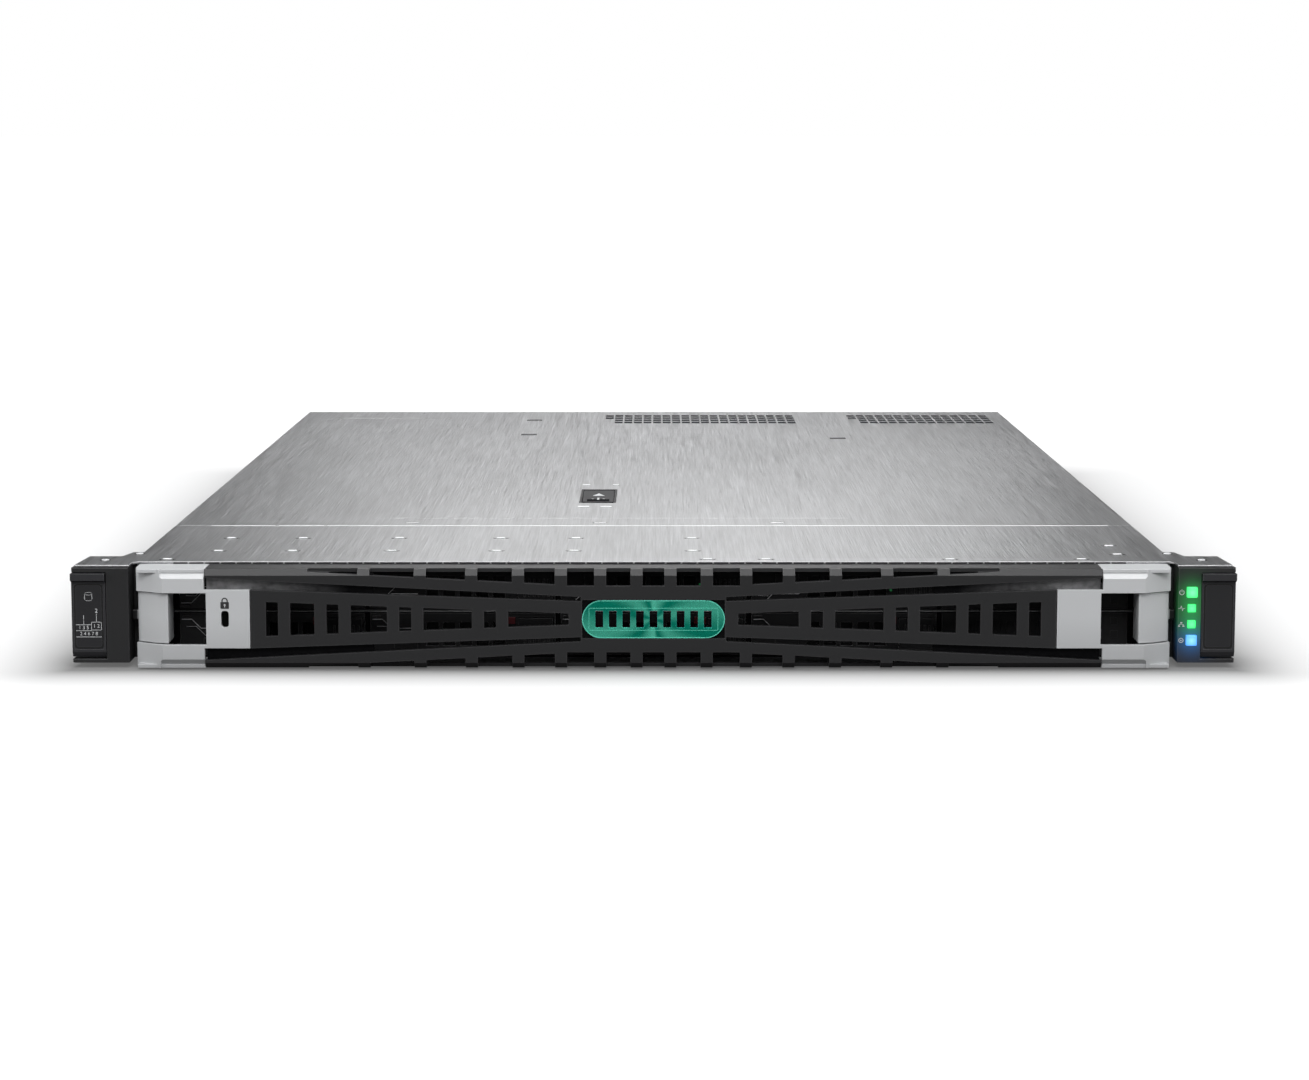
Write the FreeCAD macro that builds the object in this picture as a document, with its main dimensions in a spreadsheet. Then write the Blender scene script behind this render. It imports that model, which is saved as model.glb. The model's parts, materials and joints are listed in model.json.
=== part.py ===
import FreeCAD, Part
import os
import re

import Sketcher

# One-unit rack server with a locking front bezel. Millimetres, +X to the right seen from the
# front, +Y to the rear, +Z up. The origin lies under the middle of the box, on the plane it rests
# on. Depths below are measured from the bezel's face and turned into Y by the word "front".

DIMENSIONS = [
    # the whole
    ("overall_width", 482.6, "across the two rack ears"),
    ("overall_depth", 736.0, "bezel face to the ends of the power supply handles"),
    ("ear_span", 24.0, "how far an ear stands out beside the body"),
    ("body_height", 42.8, "bottom to the top of the hood"),
    ("screw_inset", 8.75, "from an ear's outer side to its rack screw"),
    ("cover", 1.0, "sheet of the hood and the front top panel"),
    ("wall", 1.2, "sheet of the base and the rear wall"),
    ("gap", 0.3, "clearance between pieces that part or move"),
    # base and covers
    ("base_front", 20.0, "depth of the base's front edge"),
    ("base_flange", 6.0, "inward flange on top of the base's sides"),
    ("stud_radius", 2.2, "radius of a rail stud's shank"),
    ("stud_head", 3.6, "radius of a rail stud's head"),
    ("stud_reach", 3.2, "how far a rail stud stands out of the side"),
    ("stud_cap", 1.2, "thickness of a rail stud's head"),
    ("stud_front", 90.0, "depth of the first rail stud"),
    ("stud_pitch", 250.0, "between rail studs"),
    ("stud_level", 21.0, "height of the rail studs"),
    ("stud_count", 3, "rail studs on each side"),
    ("panel_front", 17.9, "depth of the front top panel's edge"),
    ("panel_lip", 3.0, "height of the panel's turned-down edge"),
    ("lip_inset", 6.0, "from the body's sides to the panel's turned-down edge"),
    ("panel_corner", 2.0, "cut at the panel's front corners"),
    ("tab_inset", 1.2, "from an ear's front and side to the panel's tab over it"),
    ("tab_slant", 3.0, "from an ear's side to that tab at its rear end"),
    ("tab_step", 2.0, "from the ear's column inwards to the start of the tab's slope"),
    ("tab_slope", 4.6, "from the ear's column inwards to the end of that slope"),
    ("tab_tail", 13.0, "how far that slope runs behind the ear"),
    ("hood_front", 137.7, "depth of the seam between panel and hood"),
    ("hood_flange", 6.0, "depth of the hood's side flanges"),
    # hood openings
    ("latch_middle", -27.0, "middle of the hood latch, across"),
    ("latch_space", 8.7, "from the fans to the latch opening's front edge"),
    ("latch_length", 58.0, "length of the latch opening"),
    ("latch_width", 17.6, "width of the latch opening"),
    ("cup_depth", 8.0, "depth of the latch cup"),
    ("lever_thick", 5.0, "thickness of the latch lever"),
    ("lever_pin", 1.5, "radius of the lever's stub pins"),
    ("cup_drop", 0.2, "from the top of the hood down to the latch cup"),
    ("lever_drop", 0.4, "from the top of the hood down to the latch lever"),
    ("lever_room", 6.0, "finger room in front of the latch lever"),
    ("pin_short", 0.2, "from the cup's side to the end of a lever pin"),
    ("dent_start", 8.0, "from the cup's front wall to the dent in the lever"),
    ("dent_long", 10.0, "length of that dent"),
    ("dent_deep", 2.0, "depth of that dent"),
    ("dent_side", 2.0, "from the lever's sides to that dent"),
    ("pin_play", 0.05, "radial clearance round every pin"),
    ("vent_wide", 4.7, "width of a hood vent slot"),
    ("vent_long", 12.2, "length of a hood vent slot"),
    ("vent_step", 5.86, "between vent slots, across"),
    ("vent_row_step", 14.4, "between rows of vent slots"),
    ("vent_margin", 21.2, "from the last row of vent slots to the rear edge"),
    ("vent_left", -23.8, "left edge of the first group's full columns"),
    ("vent_columns", 19, "columns in the first group"),
    ("vent_right", 126.0, "left edge of the second group's full columns"),
    ("vent_right_columns", 14, "columns in the second group"),
    ("vent_rows", 4, "rows of vent slots"),
    ("window_wide", 9.2, "width of the hood's latch windows"),
    ("window_long", 9.0, "length of the hood's latch windows"),
    ("window_left", -73.2, "middle of the two left windows"),
    ("window_left_near", 151.0, "from the nearer left window to the rear edge"),
    ("window_left_far", 60.0, "from the further left window to the rear edge"),
    ("window_right", 106.6, "middle of the right window"),
    ("window_right_near", 173.0, "from the right window to the rear edge"),
    # bezel
    ("bezel_inset", 2.9, "from the side of the body to the bezel's end"),
    ("bezel_low", 0.6, "height of the bezel's underside"),
    ("bezel_drop", 1.0, "from the top of the hood down to the bezel's top"),
    ("bezel_plate", 2.5, "thickness of the bezel's face"),
    ("bezel_edge", 2.4, "chamfer along the bezel's top and bottom"),
    ("bezel_skin", 1.5, "thickness of those flanges"),
    ("rail_web", 3.4, "height of a rail at its outer end"),
    ("hub_margin", 0.7, "from the grille to the ends of the solid middle"),
    ("rail_drop", 11.3, "height of a rail at the middle"),
    ("plate_tall", 24.4, "height of the middle plate at its ends"),
    ("plate_waist", 15.0, "height of the middle plate at the middle"),
    ("slot_inset", 5.0, "from the solid middle to the first slot in the plate"),
    ("plate_rim", 6.3, "from the last slot to the end of the plate"),
    ("slot_count", 8, "slots in each half of the bezel's plate"),
    ("slot_widest", 5, "widest slot, in widths of the bar between slots"),
    ("slot_shares", 25, "slots and bars of a half, in widths of that bar"),
    ("slot_waist", 4.9, "height of the slots at that end"),
    ("slot_taper", 0.0764, "growth of the slot height per millimetre outwards"),
    ("notch_middle", 9.0, "width of the middle rail notch"),
    ("notch_step", 0.89, "how much wider each notch is than the one before"),
    ("notch_curve", 0.11, "how much that grows outwards"),
    ("notch_web", 4.5, "height of the rail left beside a notch"),
    ("notch_reach", 5.2, "depth of the rail notches over the edge"),
    ("notch_count", 8, "rail notches from the middle out to one side"),
    ("grille_wide", 58.6, "width of the middle grille"),
    ("grille_tall", 15.8, "height of the middle grille"),
    ("grille_slot", 3.2, "width of a grille slot"),
    ("grille_step", 5.6, "between grille slots"),
    ("grille_slot_tall", 7.1, "height of a grille slot"),
    ("grille_slots", 9, "slots in the grille"),
    ("grille_lip", 1.0, "how far the grille's lip reaches sideways and back behind the plate"),
    ("grille_lip_tall", 1.5, "how far that lip reaches up and down"),
    ("end_cheek", 11.6, "width of an end piece's slanting cheek"),
    ("end_turn", 7.0, "how far the cheek turns back"),
    ("end_wall", 2.0, "wall of an end piece's cheek"),
    ("end_fold", 1.0, "from the outer to the inner bend of that cheek"),
    ("end_mitre", 0.6, "from the end piece's bend to the bend inside it"),
    ("end_slope", 4.9, "how far down the end piece's sloping edge starts"),
    ("end_slope_deep", 3.4, "depth to which that slope runs"),
    ("end_slope_over", 0.2, "how far its cut stands over the edge"),
    ("window_inset", 13.3, "from the bezel's end to its finger window"),
    ("window_span", 16.4, "width of the finger window"),
    ("window_tall", 21.6, "height of the finger window"),
    ("plate_span", 18.1, "width of the light plate beside the window"),
    ("latch_face", 1.6, "how far the bezel latch lies behind the end's face"),
    ("latch_lap", 0.6, "how far the bezel latch's face reaches into the finger window"),
    ("latch_bend", 3.0, "from the end piece's bend to the latch's own"),
    ("latch_slope", 1.6, "how far the latch's face falls back at its bend"),
    ("latch_inset", 0.4, "from the cheek's outer side to the latch's"),
    ("latch_back", 1.0, "from the bezel's back to the latch's"),
    ("tongue_root", 0.6, "from the cheek's outer side in to the tongue's root"),
    ("tongue_back", 2.0, "from the bezel's back to the tongue"),
    ("tongue_thick", 3.0, "thickness of the tongue"),
    ("tongue_half", 2.0, "half of the tongue's height"),
    ("lock_wide", 3.2, "width of the security slot"),
    ("lock_tall", 7.0, "height of the security slot"),
    ("lock_inset", 7.8, "from the finger window to the security slot's middle"),
    ("lock_flat", 0.2, "flat left between the security slot's round corners"),
    ("strip_long", 69.1, "length of the bezel's metal strips"),
    ("strip_thick", 1.2, "thickness of those strips"),
    ("strip_lap", 3.0, "how far a strip runs behind the plate"),
    ("strip_seat", 0.1, "from the bezel's face sheet to a strip"),
    # ears
    ("ear_front", 6.0, "depth of the ears' faces"),
    ("ear_reach", 34.6, "depth of the ears' mounting faces"),
    ("ear_low", 2.0, "height of the ears' undersides"),
    ("ear_clear", 0.2, "from the side of the body to an ear"),
    ("column_wide", 9.1, "width of the ear's column"),
    ("ear_bevel_wide", 0.6, "bevel at an ear's outer front edge, across"),
    ("ear_bevel_deep", 1.5, "that bevel in depth"),
    ("ear_draft", 1.8, "how much narrower an ear is at its mounting face"),
    ("ear_top_gap", 0.05, "from an ear's top to the panel's tab"),
    ("ear_roof", 2.0, "wall of the ear above its lever"),
    ("lever_recess", 12.0, "thickness of the ear lever's space"),
    ("lever_axis", 6.5, "height of the ear lever's pivot"),
    ("ear_lip", 1.6, "height of the ear's lip below the lever"),
    ("heel_drop", 2.2, "how far the lever's heel reaches below its pivot"),
    ("ear_pin", 1.6, "radius of the ear lever's pins"),
    ("ear_set", 0.5, "how far the ear lever lies behind the ear's face"),
    ("pivot_deep", 1.7, "depth of the pivot hole in the column"),
    ("pin_seat", 1.5, "how far a lever pin enters that hole"),
    ("pin_end", 2.0, "from an ear's outer side to the end of the pin"),
    ("heel_back", 1.2, "cut behind the lever's heel"),
    ("heel_front", 1.7, "from the ear's face to the lever's heel"),
    ("panel_thick", 5.0, "thickness of the ear lever's panel"),
    ("grip_reach", 2.0, "how far the ear lever's grip stands out"),
    ("grip_tall", 2.8, "height of that grip"),
    ("grip_slope", 1.0, "how far that grip's underside slopes down"),
    ("label_wide", 12.0, "width of the label recess"),
    ("label_tall", 27.0, "height of the label recess"),
    ("label_deep", 0.4, "depth of the label recess"),
    ("screw_radius", 3.0, "radius of a rack screw's shank"),
    ("screw_thread", 2.5, "radius of its thread"),
    ("screw_head", 4.6, "rack screw head radius, corner to middle"),
    ("screw_cap", 4.0, "thickness of a rack screw's head"),
    ("screw_reach", 12.0, "how far a rack screw stands out of the ear"),
    ("button_large", 4.4, "side of the power and locator buttons"),
    ("button_small", 3.4, "side of the two status lights"),
    ("button_shift", 1.15, "how far outwards of the column's middle the buttons are"),
    ("power_level", 31.5, "height of the power button"),
    ("light_step", 6.7, "between the buttons and lights"),
    ("button_proud", 0.9, "how far buttons stand out"),
    ("button_travel", 0.7, "travel of a button"),
    ("button_long", 6.0, "length of a button"),
    ("button_clear", 0.15, "clearance round a button"),
    ("light_proud", 0.2, "how far a status light stands out"),
    # drives
    ("cage_front", 24.0, "depth of the drive cage's front"),
    ("cage_long", 104.0, "length of the drive cage"),
    ("cage_inset", 14.0, "from the base's side to the drive cage"),
    ("cage_clear", 0.4, "from the drive cage to the cover"),
    ("bay_web", 1.4, "sheet between neighbouring bays"),
    ("bay_floor", 2.2, "height of the lower bays"),
    ("cage_side", 2.7, "from the outer bays to the cage's sides"),
    ("carrier_deep", 7.0, "depth of a drive carrier's front"),
    ("carrier_proud", 1.0, "how far a carrier stands out of the cage"),
    ("vent_start", 24.0, "from a bay's side to its carrier's first vent"),
    ("vent_pitch", 7.0, "between the vents of a carrier"),
    ("vent_span", 5.0, "width of a carrier vent"),
    ("vent_rim", 4.0, "above and below a carrier vent"),
    ("vents", 5, "vents in a carrier"),
    ("arm_start", 62.0, "from a bay's side to the seat of its carrier's lever"),
    ("arm_rim", 1.0, "from the carrier's edge to that seat"),
    ("arm_level", 2.0, "above and below that seat"),
    ("arm_deep", 3.0, "depth of that seat"),
    ("arm_clear", 0.2, "clearance round the carrier's lever"),
    ("arm_proud", 0.6, "how far that lever stands out of the carrier"),
    ("arm_back", 0.1, "clearance behind that lever"),
    ("blank_deep", 12.0, "how far a drive blank reaches into its bay"),
    ("plane_inset", 1.0, "from the cage's edges to the backplane's"),
    ("drive_slack", 4.3, "from a drive's side to its bay's side"),
    ("drive_head", 1.7, "above and below a drive in its bay"),
    # fans
    ("fan_space", 32.0, "from the drive cage to the fans"),
    ("fan_long", 56.0, "length of a fan"),
    ("fan_clear", 1.2, "from the fans to the cover"),
    ("duct_wall", 0.8, "thinnest wall of a fan's duct"),
    ("fan_inset", 18.0, "from the base's side to the first fan's share of the width"),
    ("hub_radius", 10.0, "radius of a fan hub"),
    ("blade_clear", 0.8, "from blade tips to the duct"),
    ("blade_half", 5.0, "half of a blade's sweep round the hub"),
    ("blade_thick", 1.2, "thickness of a blade, measured round the hub"),
    ("rotor_start", 10.0, "depth of a rotor in its duct"),
    ("rotor_long", 20.0, "length of a rotor"),
    ("motor_side", 13.0, "side of the motor post behind a rotor"),
    ("motor_long", 10.0, "length of the motor post"),
    ("strut_inset", 0.2, "from a duct's sides to the ends of its strut"),
    ("strut_half", 1.0, "half of that strut's height"),
    ("upright_drop", 2.0, "from the top of the fans down to the uprights between them"),
    ("blade_margin", 1.5, "from a hub's ends to its blades"),
    ("blade_root", 2.0, "how deep a blade is set into the hub"),
    # board
    ("board_space", 16.0, "from the fans to the system board"),
    ("board_inset", 4.0, "from the base's side to the system board"),
    ("board_level", 6.0, "height of the board's underside"),
    ("board_thick", 1.6, "thickness of the boards"),
    ("board_side", 3.0, "from the second power supply to the board"),
    ("board_notch", 6.0, "from the front of the power supplies to the board"),
    ("board_rear", 2.0, "from the rear wall to the board"),
    ("post_inset", 8.0, "from the board's front and sides to a post"),
    ("post_rear", 20.0, "from the supplies and the rear edge to a post"),
    ("post_half", 3.0, "half of the side of a post"),
    ("chip_half_wide", 38.0, "half of the processor socket's width"),
    ("chip_half_long", 42.0, "half of the processor socket's length"),
    ("sink_shift", 14.0, "how far behind the middle of its space the heat sink is"),
    ("sink_long", 110.0, "length of the heat sink"),
    ("sink_wide", 118.0, "width of the heat sink"),
    ("sink_foot", 8.0, "height from the board to the heat sink's base"),
    ("sink_base", 4.0, "thickness of the heat sink's base"),
    ("sink_clear", 2.0, "from the fin tips to the top of the base"),
    ("fin_thick", 0.9, "thickness of a fin"),
    ("fin_count", 23, "number of fins"),
    ("module_inner", 72.0, "first memory socket, from the centre"),
    ("module_step", 8.4, "between memory sockets"),
    ("module_long", 133.3, "length of a memory module"),
    ("module_clear", 2.7, "from a memory module to the top of the base"),
    ("module_thick", 3.8, "thickness of a memory module"),
    ("socket_tall", 7.6, "height of a memory socket"),
    ("socket_wide", 6.6, "width of a memory socket"),
    ("socket_end", 4.0, "from a module's end to its socket's"),
    ("module_count", 6, "memory modules on each side of the processor"),
    ("baffle_thick", 1.5, "thickness of the air baffle"),
    ("baffle_front", 2.0, "from the fans to the air baffle"),
    ("baffle_rear", 20.0, "how far the baffle runs behind the heat sink"),
    ("baffle_bend", 30.0, "from the baffle's bend to the heat sink"),
    ("baffle_drop", 2.0, "from the top of the base down to the baffle"),
    # rear
    ("supply_wide", 72.6, "width of a power supply"),
    ("supply_clear", 1.2, "from a power supply to the hood's lowered edge"),
    ("supply_long", 184.0, "length of a power supply"),
    ("supply_gap", 2.0, "between the two power supplies"),
    ("supply_inset", 1.2, "from the base's wall to the first supply"),
    ("handle_reach", 26.0, "how far a supply's handle stands out"),
    ("handle_bar", 3.4, "thickness of the handle"),
    ("handle_far", 30.0, "from a supply's right side to the far side of its handle"),
    ("handle_near", 14.0, "from there to the near side of the handle"),
    ("handle_margin", 5.0, "above and below the handle"),
    ("inlet_side", 8.0, "from a supply's left side to its inlet"),
    ("inlet_level", 9.0, "from a supply's underside to its inlet"),
    ("inlet_rim", 3.0, "how far the inlet's rim stands out"),
    ("inlet_wide", 27.4, "width of a power inlet"),
    ("inlet_tall", 19.8, "height of a power inlet"),
    ("inlet_deep", 17.0, "depth of a power inlet"),
    ("inlet_wall", 1.8, "wall of a power inlet"),
    ("prong_long", 10.0, "length of the inlet's blades"),
    ("prong_step", 7.0, "from the inlet's middle to an outer blade"),
    ("prong_drop", 2.0, "how far below the middle the outer blades are"),
    ("prong_rise", 3.0, "how far above it the middle blade is"),
    ("prong_half_thick", 1.0, "half of a blade's thickness"),
    ("prong_half_tall", 2.0, "half of a blade's height"),
    ("tab_wide", 9.0, "width of the supply's release tab"),
    ("tab_side", 1.0, "from the supply's side to its release tab"),
    ("tab_reach", 14.0, "how far the release tab stands out"),
    ("tab_margin", 12.0, "above and below the release tab"),
    ("riser_inset", 6.4, "from the second power supply to the riser bays"),
    ("riser_gap", 8.0, "between the two riser bays"),
    ("riser_side", 5.0, "from the base's side to the riser bays"),
    ("riser_floor", 21.5, "height of the riser shelves"),
    ("riser_long", 150.0, "length of the riser shelves"),
    ("riser_short", 30.0, "from the rear wall to a riser's board"),
    ("riser_drop", 3.0, "from the top of the base down to a riser"),
    ("blank_clear", 2.4, "from a slot blank to the top of the rear wall"),
    ("blank_wide", 98.0, "width of the slot blanks"),
    ("blank_side", 2.0, "from a riser's left edge to its slot blank"),
    ("blank_lap", 1.0, "how far a blank covers the wall beside its slot"),
    ("slot_sill", 1.5, "from the riser shelves to the slots"),
    ("blank_foot", 0.1, "from a riser shelf to its slot blank"),
    ("blank_head", 0.4, "from the wall above a slot to the blank's top edge"),
    ("port_level", 8.2, "height of the ports' undersides"),
    ("port_slack", 0.1, "clearance of a port in its hole"),
    ("port_proud", 0.4, "how far a port stands out of the rear wall"),
    ("video_place", 6.0, "from the riser bays' left edge to the video port"),
    ("video_long", 12.0, "length of the video port"),
    ("video_deep", 3.0, "depth of its mouth"),
    ("video_wall", 1.2, "wall round that mouth"),
    ("network_place", 34.0, "from the riser bays' left edge to the network port"),
    ("network_drop", 0.4, "how much lower than the others it is"),
    ("network_flat", 2.0, "how much less tall than wide it is"),
    ("network_long", 20.0, "length of the network port"),
    ("network_deep", 15.0, "depth of its mouth"),
    ("network_wall", 0.9, "wall round that mouth"),
    ("usb_place", 56.0, "from the riser bays' left edge to the first serial bus port"),
    ("usb_step", 20.0, "between the serial bus ports"),
    ("usb_long", 16.0, "length of a serial bus port"),
    ("usb_deep", 9.0, "depth of its mouth"),
    ("usb_wall", 0.6, "wall round that mouth"),
    ("video_wide", 17.0, "width of the video port"),
    ("video_tall", 8.6, "height of the video port"),
    ("network_side", 13.6, "side of the network port"),
    ("usb_wide", 13.2, "width of a serial bus port"),
    ("usb_tall", 5.8, "height of a serial bus port"),
    ("card_wide", 76.0, "width of the network card's plate"),
    ("card_tall", 11.0, "height of the network card's plate"),
    ("card_place", 8.0, "from the second riser's left edge to the network card"),
    ("card_clear", 0.2, "clearance of the card's plate in its hole"),
    ("card_deep", 2.0, "how far that plate reaches in"),
    ("card_proud", 0.3, "how far that plate stands out"),
    ("card_rim", 1.0, "from the plate's sides to the card"),
    ("card_long", 110.0, "length of the card"),
    ("card_lap", 1.5, "from the rear edge to the end of the card"),
    ("card_seat", 0.4, "from the hole's underside to the card"),
]

DERIVED = {
    "front": "(0 - overall_depth / 2)",
    "rear_depth": "(overall_depth - handle_reach)",
    "vent_front": "(rear_depth - vent_margin - (vent_rows - 1) * vent_row_step - vent_long)",
    "half_ear": "(overall_width / 2)",
    "half_body": "(half_ear - ear_span)",
    "half_base": "(half_body - cover - gap)",
    "base_top": "(body_height - cover - gap)",
    "screw_column": "(half_ear - screw_inset)",
    "bezel_high": "(body_height - bezel_drop)",
    "hub_half": "(grille_wide / 2 + hub_margin)",
    "slot_start": "(hub_half + slot_inset)",
    "slot_bar": "((plate_half - plate_rim - slot_start) / slot_shares)",
    "under_cover": "(body_height - cover)",
    "bezel_middle": "((bezel_low + bezel_high) / 2)",
    "end_outer": "(half_body - bezel_inset)",
    "end_bend": "(end_outer - end_cheek)",
    "window_outer": "(end_outer - window_inset)",
    "window_inner": "(window_outer - window_span)",
    "rail_half": "(window_inner + gap + 0.2)",
    "plate_half": "(window_inner - plate_span - gap)",
    "lock_middle": "(window_inner - lock_inset)",
    "strip_inner": "(window_inner - strip_long)",
    "column_inner": "(half_body + ear_clear)",
    "column_outer": "(column_inner + column_wide)",
    "button_column": "(column_middle + button_shift)",
    "cage_half": "(half_base - cage_inset)",
    "bay_step": "((2 * (cage_half - cage_side) + bay_web) / 5)",
    "bay_wide": "(bay_step - bay_web)",
    "bay_tall": "((under_cover - cage_clear - bay_floor) / 2 - wall)",
    "board_half": "(half_base - board_inset)",
    "supply_outer": "(half_base - wall - supply_inset)",
    "supply_tall": "(base_top - 2 * wall - gap - supply_clear)",
    "supply_step": "(supply_wide + supply_gap)",
    "supply_front": "(rear_depth - supply_long)",
    "riser_left": "(supply_step + supply_wide - supply_outer + riser_inset)",
    "riser_edge": "(half_base - riser_side)",
    "riser_split": "((riser_left + riser_edge - riser_gap) / 2)",
    "riser_right": "((riser_left + riser_edge + riser_gap) / 2)",
    "blank_tall": "(base_top - wall - riser_floor - blank_clear)",
    "bezel_back": "(panel_front - gap)",
    "bezel_foot": "(base_front - gap)",
    "board_top": "(board_level + board_thick)",
    "fan_floor": "(wall + cover)",
    "fan_side": "(under_cover - fan_clear - fan_floor)",
    "fan_level": "(fan_floor + fan_side / 2)",
    "fan_bore": "(fan_side / 2 - duct_wall)",
    "fan_front": "(cage_front + cage_long + fan_space)",
    "fan_back": "(fan_front + fan_long)",
    "latch_front": "(fan_back + latch_space)",
    "board_front": "(fan_back + board_space)",
    "sink_front": "((fan_back + supply_front - sink_long) / 2 + sink_shift)",
    "sink_top": "(base_top - sink_clear)",
    "module_top": "(base_top - module_clear)",
    "motor_front": "(fan_front + rotor_start + rotor_long + gap)",
    "bay_shelf": "(bay_floor + bay_tall + wall)",
    "column_middle": "((column_outer + column_inner) / 2)",
    "pivot_depth": "(ear_front + panel_thick / 2 + ear_set)",
    "lever_top": "(under_cover - ear_roof - gap)",
}

doc = FreeCAD.newDocument("rack_server")
sheet = doc.addObject("Spreadsheet::Sheet", "dims")
for row, (alias, number, meaning) in enumerate(DIMENSIONS, start=1):
    sheet.set(f"A{row}", meaning)
    sheet.set(f"B{row}", str(number))
    sheet.setAlias(f"B{row}", alias)
doc.recompute()
ALIASES = {alias for alias, _, _ in DIMENSIONS}
PARTS = []


def expr(text):
    """An expression for FreeCAD from one in the sheet's words and the derived words."""

    def swap(found):
        word = found.group(0)
        if word in DERIVED:
            return expr(DERIVED[word])
        return f"dims.{word}" if word in ALIASES else word

    return re.sub(r"(?<![\w.])[a-z][a-z_]*(?![\w(])", swap, str(text))


def number(text):
    """What an expression comes to now."""
    return float(sheet.evalExpression(expr(text)))


def bind(thing, prop, text):
    thing.setExpression(prop, expr(text))


def keep(node, thing):
    """Makes a shape a sub-part: its label is the name of its file."""
    thing.Label = node
    PARTS.append((node, thing))
    return thing


# ---- solids made of primitives -------------------------------------------------------------


def block(name, x, y, z):
    """A box from low to high along each axis; y is a depth behind the bezel's face."""
    solid = doc.addObject("Part::Box", name)
    spans = (("Length", "x", x, ""), ("Width", "y", y, "front + "), ("Height", "z", z, ""))
    for prop, axis, (low, high), shift in spans:
        bind(solid, prop, f"({high}) - ({low})")
        bind(solid, f"Placement.Base.{axis}", f"{shift}({low})")
    return solid


TURNS = {
    "x": FreeCAD.Rotation(FreeCAD.Vector(0, 1, 0), 90),
    "y": FreeCAD.Rotation(FreeCAD.Vector(1, 0, 0), -90),
    "z": FreeCAD.Rotation(),
}


def rod(name, axis, x, y, z, radius, length):
    """A cylinder that starts at a point and runs along +axis."""
    solid = doc.addObject("Part::Cylinder", name)
    solid.Placement = FreeCAD.Placement(FreeCAD.Vector(), TURNS[axis])
    bind(solid, "Radius", radius)
    bind(solid, "Height", length)
    bind(solid, "Placement.Base.x", x)
    bind(solid, "Placement.Base.y", f"front + ({y})")
    bind(solid, "Placement.Base.z", z)
    return solid


def prism(name, sides, axis, x, y, z, radius, length):
    """A many-sided rod, for small fasteners."""
    solid = doc.addObject("Part::Prism", name)
    solid.Polygon = sides
    solid.Placement = FreeCAD.Placement(FreeCAD.Vector(), TURNS[axis])
    bind(solid, "Circumradius", radius)
    bind(solid, "Height", length)
    bind(solid, "Placement.Base.x", x)
    bind(solid, "Placement.Base.y", f"front + ({y})")
    bind(solid, "Placement.Base.z", z)
    return solid


def group(name, solids):
    """Separate solids that share one node."""
    held = doc.addObject("Part::Compound", name)
    held.Links = solids
    return held


def cut(name, base, *tools):
    made = doc.addObject("Part::Cut", name)
    made.Base = base
    made.Tool = tools[0] if len(tools) == 1 else group(f"{name}_tools", list(tools))
    return made


def fuse(name, *solids):
    made = doc.addObject("Part::MultiFuse", name)
    made.Shapes = list(solids)
    made.Refine = True
    return made


# ---- solids made of sketches ---------------------------------------------------------------


def new_body(name):
    return doc.addObject("PartDesign::Body", name)


def draw(body, name, plane, loops, level):
    """A sketch on one of the body's origin planes, moved to a level along the plane's normal.

    Each loop is a list of corners, and each corner a pair of expressions bound to the sheet.
    """
    sketch = body.newObject("Sketcher::SketchObject", name)
    origin = next(f for f in body.Origin.OriginFeatures if f.Role == plane)
    sketch.AttachmentSupport = [(origin, "")]
    sketch.MapMode = "FlatFace"
    bind(sketch, "AttachmentOffset.Base.z", level)
    for loop in loops:
        corners = [FreeCAD.Vector(number(u), number(v), 0) for u, v in loop]
        first = sketch.GeometryCount
        count = len(corners)
        sides = [Part.LineSegment(corners[i], corners[(i + 1) % count]) for i in range(count)]
        sketch.addGeometry(sides, False)
        joins = [
            Sketcher.Constraint("Coincident", first + i, 2, first + (i + 1) % count, 1)
            for i in range(count)
        ]
        sketch.addConstraint(joins)
        held = [
            Sketcher.Constraint(kind, -1, 1, first + i, 1, place)
            for i, corner in enumerate(corners)
            for kind, place in zip(("DistanceX", "DistanceY"), corner)
        ]
        texts = [text for corner in loop for text in corner]
        for where, text in zip(sketch.addConstraint(held), texts):
            sketch.setExpression(f"Constraints[{where}]", expr(text))
    return sketch


def pad(body, name, plane, loops, low, high):
    """Adds an extrusion of the loops between two levels along the plane's own axis."""
    back = plane == "XZ_Plane"
    level = f"0 - ({low})" if back else low
    sketch = draw(body, f"{name}_sketch", plane, loops, level)
    feature = body.newObject("PartDesign::Pad", name)
    feature.Profile = sketch
    feature.Reversed = back
    bind(feature, "Length", f"({high}) - ({low})")
    doc.recompute()
    return feature


def pocket(body, name, plane, loops, low, high):
    """Cuts an extrusion of the loops between two levels, and checks that it removed metal."""
    before = body.Shape.Volume
    level = f"0 - ({low})" if plane == "XZ_Plane" else high
    sketch = draw(body, f"{name}_sketch", plane, loops, level)
    feature = body.newObject("PartDesign::Pocket", name)
    feature.Profile = sketch
    bind(feature, "Length", f"({high}) - ({low})")
    doc.recompute()
    if body.Shape.Volume >= before:
        raise RuntimeError(f"{name} cut nothing")
    return feature


def across(body, name, feature, step, copies):
    """Repeats a feature along X."""
    before = body.Shape.Volume
    pattern = body.newObject("PartDesign::LinearPattern", name)
    pattern.Originals = [feature]
    origin = next(f for f in body.Origin.OriginFeatures if f.Role == "X_Axis")
    pattern.Direction = (origin, [""])
    bind(pattern, "Length", f"({step}) * (({copies}) - 1)")
    bind(pattern, "Occurrences", copies)
    body.Tip = pattern
    doc.recompute()
    if body.Shape.Volume >= before:
        raise RuntimeError(f"{name} repeated nothing")
    return pattern


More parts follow.
